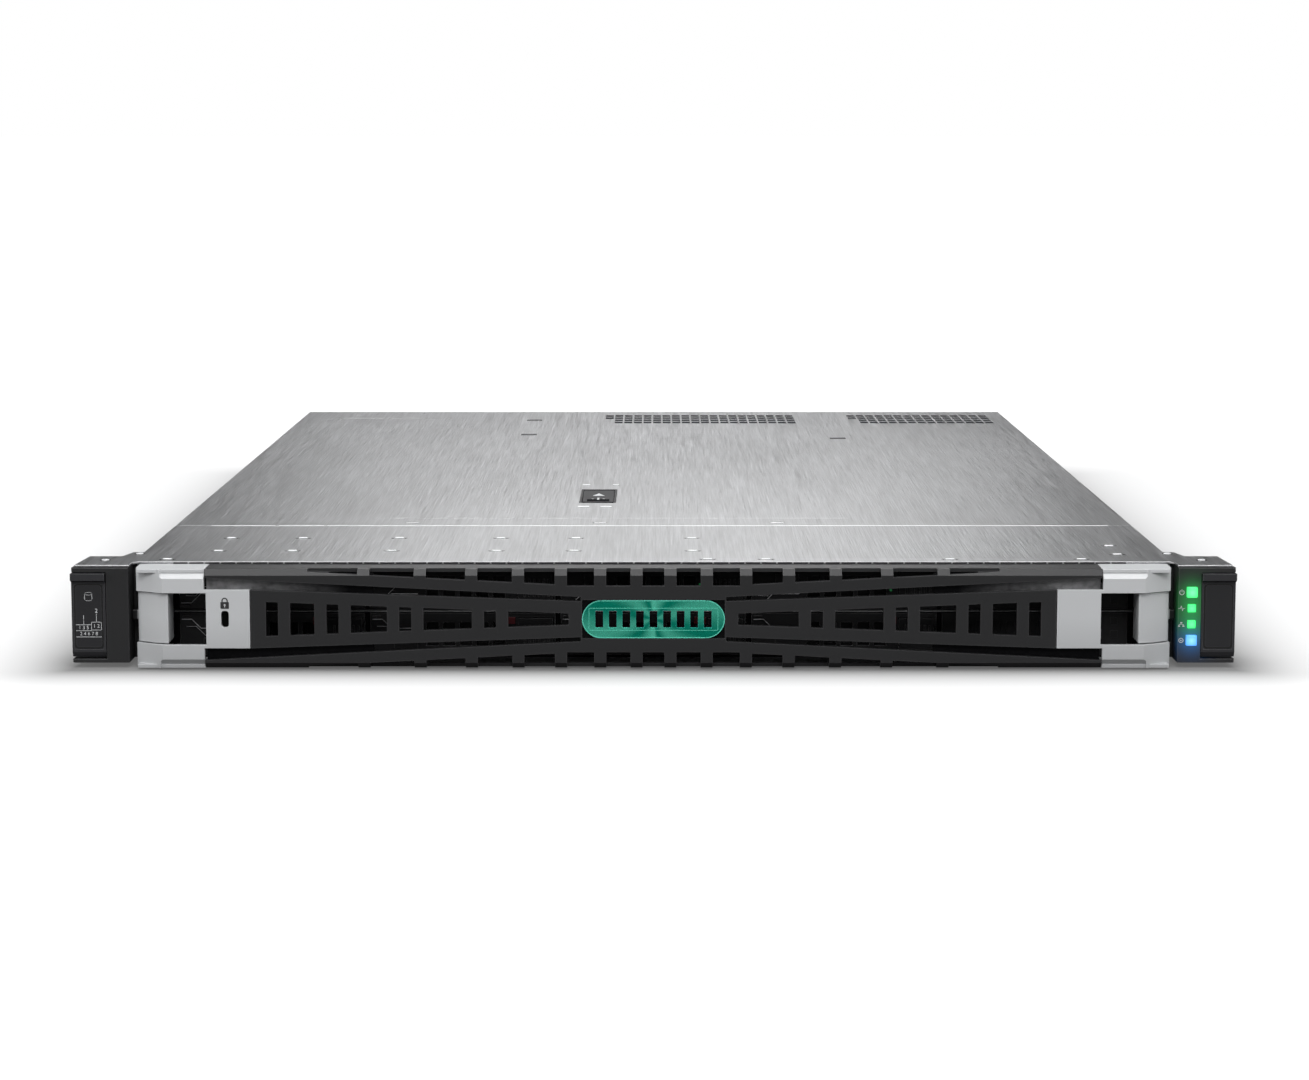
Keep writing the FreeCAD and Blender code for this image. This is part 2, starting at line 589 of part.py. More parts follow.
def round_edges(body, name, radius, pick):
    """Rounds the edges that pick accepts, each given as its middle point and direction."""
    names = []
    for index, edge in enumerate(body.Shape.Edges, start=1):
        if edge.Curve.TypeId != "Part::GeomLine":
            continue
        start, end = (v.Point for v in edge.Vertexes)
        if pick((start + end) / 2, (end - start).normalize(), edge.Length):
            names.append(f"Edge{index}")
    base = body.Tip
    feature = body.newObject("PartDesign::Fillet", name)
    feature.Base = (base, names)
    bind(feature, "Radius", radius)
    doc.recompute()
    return feature


def rectangle(x, z):
    (left, right), (low, high) = x, z
    return [(left, low), (right, low), (right, high), (left, high)]


def mirrored(loop):
    """The loop on the other side of the middle plane."""
    return [(f"0 - ({u})", v) for u, v in reversed(loop)]


def upside_down(loop):
    """The loop below the bezel's middle height."""
    return [(u, f"2 * bezel_middle - ({v})") for u, v in reversed(loop)]


# ---- base and covers -----------------------------------------------------------------------


def chassis_base():
    """Folded pan: floor, two sides and the flanges that carry the hood."""
    body = new_body("base_body")
    side = [
        ("half_base", "0"),
        ("half_base", "base_top"),
        ("half_base - base_flange", "base_top"),
        ("half_base - base_flange", "base_top - wall"),
        ("half_base - wall", "base_top - wall"),
        ("half_base - wall", "wall"),
    ]
    profile = side + mirrored(side)
    pad(body, "pan", "XZ_Plane", [profile], "front + base_front", "front + rear_depth")
    keep("chassis_base", body)


STUD_SIDES = 12


def rail_studs():
    """Headed studs on both sides for the inner rack rails."""
    studs = []
    for side in ("left", "right"):
        for place in range(int(number("stud_count"))):
            shank, head = "half_base", "half_base + stud_reach - stud_cap"
            if side == "left":
                shank, head = "0 - half_base - stud_reach", "0 - half_base - stud_reach"
            depth = f"stud_front + {place} * stud_pitch"
            tag = f"{side}_{place}"
            spot = (depth, "stud_level")
            shaft = prism(f"stud_shank_{tag}", STUD_SIDES, "x", shank, *spot, "stud_radius", "stud_reach")
            cap = prism(f"stud_head_{tag}", STUD_SIDES, "x", head, *spot, "stud_head", "stud_cap")
            studs.append(fuse(f"stud_{tag}", shaft, cap))
    keep("rail_studs", group("stud_group", studs))


def front_top_panel():
    """Fixed top sheet over the drives, with tabs that cap the ears."""
    body = new_body("panel_body")
    half = [
        ("half_body - panel_corner", "front + panel_front"),
        ("half_body", "front + panel_front - panel_corner"),
        ("half_body", "front + ear_front + tab_inset"),
        ("half_ear - tab_inset", "front + ear_front + tab_inset"),
        ("half_ear - tab_slant", "front + ear_reach"),
        ("column_outer - tab_step", "front + ear_reach"),
        ("column_outer - tab_slope", "front + ear_reach + tab_tail"),
        ("half_body", "front + ear_reach + tab_tail"),
        ("half_body", "front + hood_front - gap"),
    ]
    outline = half + mirrored(half)
    pad(body, "sheet", "XY_Plane", [outline], "under_cover", "body_height")
    lip = rectangle(
        ("0 - half_body + lip_inset", "half_body - lip_inset"),
        ("under_cover - panel_lip", "under_cover"),
    )
    pad(body, "lip", "XZ_Plane", [lip], "front + panel_front", "front + panel_front + cover")
    keep("front_top_panel", body)


def hood():
    """Removable top cover with turned-down sides, vents and latch windows."""
    body = new_body("hood_body")
    side = [
        ("half_body - cover", "under_cover"),
        ("half_body - cover", "body_height - hood_flange"),
        ("half_body", "body_height - hood_flange"),
        ("half_body", "body_height"),
    ]
    profile = side + mirrored(side)
    pad(body, "fold", "XZ_Plane", [profile], "front + hood_front", "front + rear_depth")
    openings = [
        rectangle(
            ("latch_middle - latch_width / 2", "latch_middle + latch_width / 2"),
            ("front + latch_front", "front + latch_front + latch_length"),
        )
    ]
    windows = (
        ("window_left", "rear_depth - window_left_near"),
        ("window_left", "rear_depth - window_left_far"),
        ("window_right", "rear_depth - window_right_near"),
    )
    for middle, depth in windows:
        openings.append(
            rectangle(
                (f"{middle} - window_wide / 2", f"{middle} + window_wide / 2"),
                (f"front + {depth}", f"front + {depth} + window_long"),
            )
        )
    for left in ("vent_left", "vent_right"):
        for line in (2, 3):
            low = f"front + vent_front + {line} * vent_row_step"
            openings.append(
                rectangle(
                    (f"{left} - vent_step", f"{left} - vent_step + vent_wide"),
                    (low, f"{low} + vent_long"),
                )
            )
    pocket(body, "openings", "XY_Plane", openings, "under_cover - 1", "body_height")
    for left, copies in (("vent_left", "vent_columns"), ("vent_right", "vent_right_columns")):
        column = []
        for line in range(int(number("vent_rows"))):
            low = f"front + vent_front + {line} * vent_row_step"
            column.append(rectangle((left, f"{left} + vent_wide"), (low, f"{low} + vent_long")))
        slots = pocket(body, f"{left}_slots", "XY_Plane", column, "under_cover - 1", "body_height")
        across(body, f"{left}_rows", slots, "vent_step", copies)
    keep("hood", body)


def hood_latch():
    """Cup set into the hood, and the lever that lies in it on two stub pins."""
    low_x, high_x = "latch_middle - latch_width / 2", "latch_middle + latch_width / 2"
    near, far = "latch_front", "latch_front + latch_length"
    floor = "body_height - cup_depth"
    cup = block("cup_block", (low_x, high_x), (near, far), (floor, "body_height - cup_drop"))
    hollow = block(
        "cup_hollow",
        (f"{low_x} + cover", f"{high_x} - cover"),
        (f"{near} + cover", f"{far} - cover"),
        (f"{floor} + cover", "body_height"),
    )
    axis_y = f"{far} - cover - gap - lever_thick / 2"
    top = "body_height - lever_drop"
    axis_z = f"{top} - lever_thick / 2"
    bore = rod("cup_bore", "x", low_x, axis_y, axis_z, "lever_pin + pin_play", "latch_width")
    keep("hood_latch_cup", cut("latch_cup", cup, hollow, bore))

    left, right = f"{low_x} + cover + gap", f"{high_x} - cover - gap"
    arm = new_body("lever_arm")
    profile = [
        (f"front + {near} + cover + gap + lever_room", f"{top} - lever_thick"),
        (f"front + {axis_y}", f"{top} - lever_thick"),
        (f"front + {axis_y} + lever_thick / 2", axis_z),
        (f"front + {axis_y} + lever_thick / 4", top),
        (f"front + {near} + cover + gap + lever_room", top),
    ]
    pad(arm, "arm", "YZ_Plane", [profile], left, right)
    reach = "latch_width - 2 * pin_short"
    pins = rod("lever_pins", "x", f"{low_x} + pin_short", axis_y, axis_z, "lever_pin", reach)
    dent = f"{near} + cover + gap + dent_start"
    scoop = block(
        "lever_scoop",
        (f"{left} + dent_side", f"{right} - dent_side"),
        (dent, f"{dent} + dent_long"),
        (f"{top} - dent_deep", "body_height"),
    )
    lever = cut("lever_scooped", fuse("lever_solid", arm, pins), scoop)
    keep("hood_latch_lever", lever)


# ---- bezel ---------------------------------------------------------------------------------


def plate_slots():
    """Corner loops of the slots in the bezel's middle plate, wide and narrow in turn."""
    loops = []
    inner = "slot_start"
    for place in range(int(number("slot_count"))):
        steps = 1 if place % 2 else int(number("slot_widest")) - place // 2
        outer = f"({inner} + {steps} * slot_bar)"
        low_in = f"bezel_middle - (slot_waist + slot_taper * ({inner} - slot_start)) / 2"
        low_out = f"bezel_middle - (slot_waist + slot_taper * ({outer} - slot_start)) / 2"
        loop = [
            (inner, low_in),
            (outer, low_out),
            (outer, f"2 * bezel_middle - ({low_out})"),
            (inner, f"2 * bezel_middle - ({low_in})"),
        ]
        loops += [loop, mirrored(loop)]
        inner = f"({outer} + slot_bar)"
    return loops


def rail_notches():
    """Corner loops of the notches that wrap over the bezel's top edge."""
    half, top = "notch_middle / 2", "bezel_high + 1"
    floor = "(bezel_high - rail_drop + notch_web)"
    slope = "((rail_drop - rail_web) / (rail_half - hub_half))"
    loops = [rectangle((f"0 - {half}", half), (floor, top))]
    inner = f"({half} + slot_bar)"
    for place in range(1, int(number("notch_count"))):
        wide = f"notch_middle + notch_step * {place} + notch_curve * {place * place}"
        outer = f"({inner} + {wide})"
        if place > 2:
            low_in = f"{floor} + {slope} * ({inner} - hub_half)"
            low_out = f"{floor} + {slope} * ({outer} - hub_half)"
        else:
            low_in = low_out = floor
        loop = [(inner, low_in), (outer, low_out), (outer, top), (inner, top)]
        loops += [loop, mirrored(loop)]
        inner = f"({outer} + slot_bar)"
    return loops


def bezel_frame():
    """Dark front frame: two tapering rails and a bow-tie plate, all joined at the middle."""
    body = new_body("frame_body")
    upper = [
        ("hub_half", "bezel_middle + plate_waist / 2"),
        ("hub_half", "bezel_high - rail_drop"),
        ("rail_half", "bezel_high - rail_web"),
        ("rail_half", "bezel_high"),
    ]
    right = upside_down(upper)
    tip = [
        ("plate_half", "bezel_middle - plate_tall / 2"),
        ("plate_half", "bezel_middle + plate_tall / 2"),
    ]
    outline = right + tip + upper
    outline = outline + mirrored(outline)
    face = [outline] + plate_slots()
    pad(body, "face", "XZ_Plane", face, "front", "front + bezel_plate")
    flange = rectangle(("0 - rail_half", "rail_half"), ("bezel_high - bezel_skin", "bezel_high"))
    start = "front + bezel_plate"
    pad(body, "top_flange", "XZ_Plane", [flange], start, "front + bezel_back")
    pad(body, "low_flange", "XZ_Plane", [upside_down(flange)], start, "front + bezel_foot")
    edge = [
        ("front - 1", "bezel_high - bezel_edge - 1"),
        ("front + bezel_edge + 1", "bezel_high + 1"),
        ("front - 1", "bezel_high + 1"),
    ]
    ends = ("0 - rail_half - 1", "rail_half + 1")
    pocket(body, "edges", "YZ_Plane", [edge, upside_down(edge)], *ends)
    notches = rail_notches()
    notches += [upside_down(loop) for loop in notches]
    pocket(body, "notches", "XZ_Plane", notches, "front - 1", "front + notch_reach")
    half = "(grille_wide / 2 + gap / 2)"
    seat = rectangle(
        (f"0 - {half}", half),
        (
            "bezel_middle - grille_tall / 2 - gap / 2",
            "bezel_middle + grille_tall / 2 + gap / 2",
        ),
    )
    pocket(body, "grille_seat", "XZ_Plane", [seat], "front - 1", "front + bezel_plate + 1")
    keep("bezel_frame", body)


def bezel_grille():
    """Middle insert with rounded ends and a row of upright slots."""
    low, high = "bezel_middle - grille_tall / 2", "bezel_middle + grille_tall / 2"
    straight = "(grille_wide / 2 - grille_tall / 2)"
    middle = block(
        "grille_bar", (f"0 - {straight}", straight), ("0", "bezel_plate"), (low, high)
    )
    ends = [
        rod(f"grille_end_{n}", "y", x, "0", "bezel_middle", "grille_tall / 2", "bezel_plate")
        for n, x in enumerate((f"0 - {straight}", straight))
    ]
    rim = block(
        "grille_rim",
        ("0 - grille_wide / 2 - grille_lip", "grille_wide / 2 + grille_lip"),
        ("bezel_plate", "bezel_plate + grille_lip"),
        (f"{low} - grille_lip_tall", f"{high} + grille_lip_tall"),
    )
    slots = []
    for place in range(int(number("grille_slots"))):
        at = f"grille_step * ({place} - (grille_slots - 1) / 2)"
        slots.append(
            block(
                f"grille_slot_{place}",
                (f"{at} - grille_slot / 2", f"{at} + grille_slot / 2"),
                ("0 - 1", "bezel_plate + 2"),
                ("bezel_middle - grille_slot_tall / 2", "bezel_middle + grille_slot_tall / 2"),
            )
        )
    keep("bezel_grille", cut("grille", fuse("grille_solid", middle, *ends, rim), *slots))


AT_EDGE = 0.1  # an edge this near a place lies at it
ALONG = 0.9  # an edge runs along an axis when its direction has this share of it


def bezel_end(side):
    """Light end piece: a plate with the lock slot, and two arms round the finger window."""
    sign = "0 - " if side == "left" else "0 + "
    body = new_body(f"end_{side}_body")
    outline = [
        (f"{sign}(plate_half + gap)", "front"),
        (f"{sign}end_bend", "front"),
        (f"{sign}end_outer", "front + end_turn"),
        (f"{sign}end_outer", "front + bezel_back"),
        (f"{sign}(end_outer - end_wall)", "front + bezel_back"),
        (f"{sign}(end_outer - end_wall)", "front + end_turn + end_fold"),
        (f"{sign}(end_bend - end_mitre)", "front + bezel_plate"),
        (f"{sign}(plate_half + gap)", "front + bezel_plate"),
    ]
    pad(body, "wrap", "XY_Plane", [outline], "bezel_low", "bezel_high")
    window = rectangle(
        (f"{sign}window_inner", f"{sign}(end_outer + 1)"),
        ("bezel_middle - window_tall / 2", "bezel_middle + window_tall / 2"),
    )
    pocket(body, "window", "XZ_Plane", [window], "front - 1", "front + bezel_back + 1")
    step = rectangle(
        (f"{sign}plate_half", f"{sign}(rail_half + gap)"),
        ("bezel_middle + plate_tall / 2", "bezel_high + 1"),
    )
    pocket(
        body,
        "shoulders",
        "XZ_Plane",
        [step, upside_down(step)],
        "front - 1",
        "front + bezel_back + 1",
    )
    chamfer = [
        ("front - 1", "bezel_high - end_slope"),
        ("front + end_slope_deep", "bezel_high + end_slope_over"),
        ("front - 1", "bezel_high + end_slope_over"),
    ]
    low, high = ("0 - end_bend - 1", "0 - rail_half") if side == "left" else (
        "rail_half",
        "end_bend + 1",
    )
    pocket(body, "top_chamfer", "YZ_Plane", [chamfer, upside_down(chamfer)], low, high)
    if side == "left":
        lock = rectangle(
            ("0 - lock_middle - lock_wide / 2", "0 - lock_middle + lock_wide / 2"),
            ("bezel_middle - lock_tall / 2", "bezel_middle + lock_tall / 2"),
        )
        pocket(body, "lock_slot", "XZ_Plane", [lock], "front - 1", "front + bezel_plate + 1")
        middle = 0 - number("lock_middle")

        def lock_corner(point, way, length):
            near = abs(point.x - middle) < number("lock_wide") / 2 + AT_EDGE
            level = abs(point.z - number("bezel_middle")) < number("lock_tall") / 2 + AT_EDGE
            return abs(way.y) > ALONG and near and level

        round_edges(body, "lock_corners", "lock_wide / 2 - lock_flat", lock_corner)
    flange = rectangle(
        (f"{sign}(rail_half + gap)", f"{sign}(end_outer - 1)"),
        ("bezel_high - bezel_skin", "bezel_high"),
    )
    start = "front + bezel_plate - 1"
    pad(body, "top_cap", "XZ_Plane", [flange], start, "front + bezel_back")
    pad(body, "low_cap", "XZ_Plane", [upside_down(flange)], start, "front + bezel_foot")
    keep(f"bezel_{side}_end", body)


def bezel_strips():
    """Metal strips behind the rails that tie rails, plate and end pieces together."""
    strips = []
    for side, sign in (("left", "0 - "), ("right", "0 + ")):
        xs = (f"{sign}window_inner", f"{sign}strip_inner")
        x = xs if side == "left" else xs[::-1]
        for place, (low, high) in enumerate(
            (
                ("bezel_middle + plate_tall / 2 - strip_lap", "bezel_high - bezel_skin - gap"),
                ("bezel_low + bezel_skin + gap", "bezel_middle - plate_tall / 2 + strip_lap"),
            )
        ):
            strips.append(
                block(
                    f"strip_{side}_{place}",
                    x,
                    ("bezel_plate + strip_seat", "bezel_plate + strip_seat + strip_thick"),
                    (low, high),
                )
            )
    keep("bezel_strips", group("strip_group", strips))


def bezel_latch(side):
    """Finger latch in the end piece: a slanted face, an inner grip and a tongue."""
    sign = "0 - " if side == "left" else "0 + "
    body = new_body(f"latch_{side}_body")
    outline = [
        (f"{sign}(window_outer - latch_lap)", "front + latch_face"),
        (f"{sign}(end_bend + latch_bend)", "front + latch_face + latch_slope"),
        (f"{sign}(end_outer - latch_inset)", "front + latch_face + end_turn"),
        (f"{sign}(end_outer - latch_inset)", "front + bezel_back - latch_back"),
        (f"{sign}(window_outer - latch_lap)", "front + bezel_back - latch_back"),
    ]
    low = "bezel_middle - window_tall / 2 + gap"
    high = "bezel_middle + window_tall / 2 - gap"
    pad(body, "button", "XY_Plane", [outline], low, high)
    tongue = rectangle(
        (f"{sign}(end_outer - tongue_root)", f"{sign}(column_inner - gap)"),
        ("front + bezel_back - tongue_back - tongue_thick", "front + bezel_back - tongue_back"),
    )
    low, high = "bezel_middle - tongue_half", "bezel_middle + tongue_half"
    pad(body, "tongue", "XY_Plane", [tongue], low, high)
    keep(f"bezel_{side}_latch", body)


# ---- ears ----------------------------------------------------------------------------------


def ear(side):
    """Moulded ear: an inner column, a recess for the lever and a mounting wall."""
    sign = "0 - " if side == "left" else "0 + "

    def span(inner, outer):
        ends = (f"{sign}({inner})", f"{sign}({outer})")
        return ends if side == "right" else ends[::-1]

    body = new_body(f"ear_{side}_body")
    outline = [
        (f"{sign}column_inner", "front + ear_front"),
        (f"{sign}(half_ear - ear_bevel_wide)", "front + ear_front"),
        (f"{sign}half_ear", "front + ear_front + ear_bevel_deep"),
        (f"{sign}(half_ear - ear_draft)", "front + ear_reach"),
        (f"{sign}half_base", "front + ear_reach"),
        (f"{sign}half_base", "front + base_front + gap"),
        (f"{sign}column_inner", "front + base_front + gap"),
    ]
    pad(body, "block", "XY_Plane", [outline], "ear_low", "under_cover - ear_top_gap")
    recess = rectangle(
        span("column_outer + gap", "half_ear + 1"), ("ear_low + ear_lip", "under_cover - ear_roof")
    )
    pocket(body, "recess", "XZ_Plane", [recess], "front - 1", "front + ear_front + lever_recess")
    hole = rod(
        f"screw_hole_{side}",
        "y",
        f"{sign}screw_column",
        "ear_front + lever_recess - 1",
        "stud_level",
        "screw_radius + gap",
        "ear_reach",
    )
    start = "column_outer - pivot_deep" if side == "right" else "0 - column_outer - 2 * gap"
    bore, reach = "ear_pin + pin_play", "pivot_deep + 2 * gap"
    pivot = ("x", start, "pivot_depth", "lever_axis", bore, reach)
    tools = [hole, rod(f"pivot_hole_{side}", *pivot)]
    if side == "right":
        sizes = ("button_large", "button_small", "button_small", "button_large")
        for place, size in enumerate(sizes):
            level = f"(power_level - {place} * light_step)"
            half = f"({size} / 2 + button_clear)"
            tools.append(
                block(
                    f"light_hole_{place}",
                    (f"button_column - {half}", f"button_column + {half}"),
                    ("ear_front - 1", "ear_front + button_long + button_travel + gap"),
                    (f"{level} - {half}", f"{level} + {half}"),
                )
            )
    keep(f"{side}_ear", cut(f"ear_{side}", body, *tools))


def ear_lever(side):
    """Pull-down lever that covers the rack screw, with a finger grip and a label recess."""
    sign = "0 - " if side == "left" else "0 + "

    def span(inner, outer):
        ends = (f"{sign}({inner})", f"{sign}({outer})")
        return ends if side == "right" else ends[::-1]

    body = new_body(f"ear_lever_{side}_body")
    profile = [
        ("front + ear_front + ear_set", "lever_axis"),
        ("front + ear_front + ear_set", "lever_top - grip_tall - grip_slope"),
        ("front + ear_front - grip_reach", "lever_top - grip_tall"),
        ("front + ear_front - grip_reach", "lever_top"),
        ("front + ear_front + panel_thick", "lever_top"),
        ("front + ear_front + panel_thick", "lever_axis"),
        ("front + ear_front + panel_thick - heel_back", "lever_axis - heel_drop"),
        ("front + ear_front + heel_front", "lever_axis - heel_drop"),
    ]
    inner, outer = span("column_outer + 2 * gap", "half_ear")
    pad(body, "panel", "YZ_Plane", [profile], inner, outer)
    label_middle = "(lever_axis + lever_top - grip_tall - grip_slope) / 2"
    face_middle = "(column_outer + 2 * gap + half_ear) / 2"
    label = rectangle(
        span(f"{face_middle} - label_wide / 2", f"{face_middle} + label_wide / 2"),
        (f"{label_middle} - label_tall / 2", f"{label_middle} + label_tall / 2"),
    )
    pocket(
        body,
        "label",
        "XZ_Plane",
        [label],
        "front + ear_front - 1",
        "front + ear_front + ear_set + label_deep",
    )
    pin_start = "column_outer - pin_seat" if side == "right" else "0 - half_ear + pin_end"
    pin_long = "half_ear - pin_end - column_outer + pin_seat"
    pin = rod(f"ear_pin_{side}", "x", pin_start, "pivot_depth", "lever_axis", "ear_pin", pin_long)
    keep(f"{side}_ear_lever", fuse(f"ear_lever_{side}", body, pin))


HEX = 6


def ear_screws():
    """Captive rack screws behind the levers."""
    screws = []
    for side, sign in (("left", "0 - "), ("right", "0 + ")):
        x = f"{sign}screw_column"
        start = "ear_front + lever_recess"
        level = "stud_level"
        neck = "ear_reach - ear_front - lever_recess"
        shank = rod(f"screw_shank_{side}", "y", x, start, level, "screw_radius", neck)
        thread = rod(f"screw_thread_{side}", "y", x, "ear_reach", level, "screw_thread", "screw_reach")
        spot = (x, f"{start} - screw_cap", level)
        head = prism(f"screw_head_{side}", HEX, "y", *spot, "screw_head", "screw_cap")
        screws.append(fuse(f"screw_{side}", head, shank, thread))
    keep("rack_screws", group("screw_group", screws))


def front_buttons():
    """Power and locator buttons that travel, and two fixed status lights."""

    def key(name, size, place, proud):
        level = f"(power_level - {place} * light_step)"
        return block(
            name,
            (f"button_column - {size} / 2", f"button_column + {size} / 2"),
            (f"ear_front - {proud}", "ear_front + button_long"),
            (f"{level} - {size} / 2", f"{level} + {size} / 2"),
        )

    keep("power_button", key("power_key", "button_large", 0, "button_proud"))
    keep("locator_button", key("locator_key", "button_large", 3, "button_proud"))
    lights = [key(f"light_{n}", "button_small", n, "light_proud") for n in (1, 2)]
    keep("status_lights", group("light_group", lights))


# ---- drives --------------------------------------------------------------------------------


DRIVES = 8
BAYS = 10


def bay(place):
    """Left side and floor of a drive bay: five across, two high, numbered down then right."""
    column, line = place // 2, place % 2
    left = f"(bay_step * ({column} - 2) - bay_wide / 2)"
    floor = "bay_floor" if line else "bay_shelf"
    return left, floor


def drive_cage():
    """Sheet cage with ten bays."""
    body = new_body("cage_body")
    outline = rectangle(
        ("0 - cage_half", "cage_half"),
        ("wall", "bay_shelf + bay_tall + wall"),
    )
    holes = []
    for place in range(BAYS):
        left, floor = bay(place)
        holes.append(rectangle((left, f"{left} + bay_wide"), (floor, f"{floor} + bay_tall")))
    pad(
        body,
        "grid",
        "XZ_Plane",
        [outline] + holes,
        "front + cage_front",
        "front + cage_front + cage_long",
    )
    keep("drive_cage", body)


def drive(place):
    """Drive in its carrier: a vented front with a release lever, and the drive behind it."""
    left, floor = bay(place)
    name = f"drive_{place + 1}"
    low, high = f"{floor} + gap", f"{floor} + bay_tall - gap"
    x0, x1 = f"{left} + gap", f"{left} + bay_wide - gap"
    body = new_body(f"{name}_carrier")
    face = rectangle((x0, x1), (low, high))
    vents = [
        rectangle((f"{at}", f"{at} + vent_span"), (f"{low} + vent_rim", f"{high} - vent_rim"))
        for at in (f"{left} + vent_start + {n} * vent_pitch" for n in range(int(number("vents"))))
    ]
    start = "front + cage_front - carrier_proud"
    pad(body, "face", "XZ_Plane", [face] + vents, start, f"{start} + carrier_deep")
    arm = rectangle(
        (f"{left} + arm_start", f"{x1} - arm_rim"), (f"{low} + arm_level", f"{high} - arm_level")
    )
    pocket(body, "arm_seat", "XZ_Plane", [arm], f"{start} - 1", f"{start} + arm_deep")
    face_depth = "cage_front - carrier_proud"
    lever = block(
        f"{name}_lever",
        (f"{left} + arm_start + arm_clear", f"{x1} - arm_rim - arm_clear"),
        (f"{face_depth} - arm_proud", f"{face_depth} + arm_deep - arm_back"),
        (f"{low} + arm_level + arm_clear", f"{high} - arm_level - arm_clear"),
    )
    unit = block(
        f"{name}_unit",
        (f"{left} + drive_slack", f"{left} + bay_wide - drive_slack"),
        (f"{face_depth} + carrier_deep", "cage_front + cage_long"),
        (f"{floor} + drive_head", f"{floor} + bay_tall - drive_head"),
    )
    keep(name, group(f"{name}_group", [body, lever, unit]))


def drive_blanks():
    """Two blanks in the bays of the second box."""
    blanks = []
    for place in range(DRIVES, BAYS):
        left, floor = bay(place)
        blanks.append(
            block(
                f"blank_{place}",
                (f"{left} + gap", f"{left} + bay_wide - gap"),
                ("cage_front - carrier_proud", "cage_front + blank_deep"),
                (f"{floor} + gap", f"{floor} + bay_tall - gap"),
            )
        )
    keep("drive_blanks", group("blank_group", blanks))


def drive_backplane():
    depth = "cage_front + cage_long"
    plane = block(
        "backplane_board",
        ("0 - cage_half + plane_inset", "cage_half - plane_inset"),
        (f"{depth} + gap", f"{depth} + gap + board_thick"),
        ("wall", "bay_shelf + bay_tall - plane_inset"),
    )
    keep("drive_backplane", plane)


# ---- fans ----------------------------------------------------------------------------------

FANS = 6
BLADES = 7
HUB_SIDES = 14


def fan_middle(place):
    """Middle of a fan, each of which has an equal share of the width."""
    return f"((half_base - fan_inset) * {(2 * place + 1 - FANS) / FANS})"


def fan_housings():
    """Square ducts with a motor post held by a strut behind the rotor."""
    ducts = []
    for place in range(FANS):
        x = fan_middle(place)
        shell = block(
            f"duct_{place}",
            (f"{x} - fan_side / 2", f"{x} + fan_side / 2"),
            ("fan_front", "fan_back"),
            ("fan_floor", "fan_floor + fan_side"),
        )
        bore = rod(f"duct_bore_{place}", "y", x, "fan_front - 1", "fan_level", "fan_bore", "fan_long + 2")
        depths = ("motor_front", "motor_front + motor_long")
        post = block(
            f"duct_post_{place}",
            (f"{x} - motor_side / 2", f"{x} + motor_side / 2"),
            depths,
            ("fan_level - motor_side / 2", "fan_level + motor_side / 2"),
        )
        strut = block(
            f"duct_strut_{place}",
            (f"{x} - fan_side / 2 + strut_inset", f"{x} + fan_side / 2 - strut_inset"),
            depths,
            ("fan_level - strut_half", "fan_level + strut_half"),
        )
        ducts.append(fuse(f"fan_duct_{place}", cut(f"duct_shell_{place}", shell, bore), post, strut))
    keep("fan_housings", group("duct_group", ducts))


def fan_tray():
    """Sheet tray under the fans, with uprights that fill the spaces between them."""
    tray = block(
        "tray_floor",
        ("0 - half_base + wall + gap", "half_base - wall - gap"),
        ("fan_front", "fan_back"),
        ("wall", "fan_floor"),
    )
    uprights = []
    for place in range(FANS - 1):
        left = f"{fan_middle(place)} + fan_side / 2 + gap"
        right = f"{fan_middle(place + 1)} - fan_side / 2 - gap"
        uprights.append(
            block(
                f"upright_{place}",
                (left, right),
                ("fan_front + fan_long / 2", "fan_front + fan_long / 2 + wall"),
                ("wall", "fan_floor + fan_side - upright_drop"),
            )
        )
    keep("fan_tray", fuse("tray", tray, *uprights))


def fan_rotor(place):
    """Hub with seven pitched blades trimmed to clear the duct."""
    body = new_body(f"rotor_{place}_body")
    rim = [
        (f"hub_radius * cos({turn:.4f})", f"hub_radius * sin({turn:.4f})")
        for turn in (360 * n / HUB_SIDES for n in range(HUB_SIDES))
    ]
    pad(body, "hub", "XZ_Plane", [rim], "0", "rotor_long")
    root = "(sqrt(hub_radius * hub_radius - blade_half * blade_half) - blade_root)"
    tip = "sqrt((fan_bore - blade_clear) ^ 2 - (blade_half + blade_thick) ^ 2)"
    blade = [
        ("blade_margin", "0 - blade_half - blade_thick / 2"),
        ("blade_margin", "0 - blade_half + blade_thick / 2"),
        ("rotor_long - blade_margin", "blade_half + blade_thick / 2"),
        ("rotor_long - blade_margin", "blade_half - blade_thick / 2"),
    ]
    wing = pad(body, "blade", "YZ_Plane", [blade], root, tip)
    ring = body.newObject("PartDesign::PolarPattern", "blades")
    ring.Originals = [wing]
    axle = next(f for f in body.Origin.OriginFeatures if f.Role == "Y_Axis")
    ring.Axis = (axle, [""])
    ring.Occurrences = BLADES
    body.Tip = ring
    bind(body, "Placement.Base.x", fan_middle(place))
    bind(body, "Placement.Base.y", "front + fan_front + rotor_start")
    bind(body, "Placement.Base.z", "fan_level")
    doc.recompute()
    keep(f"fan_rotor_{place + 1}", body)


# ---- board ---------------------------------------------------------------------------------


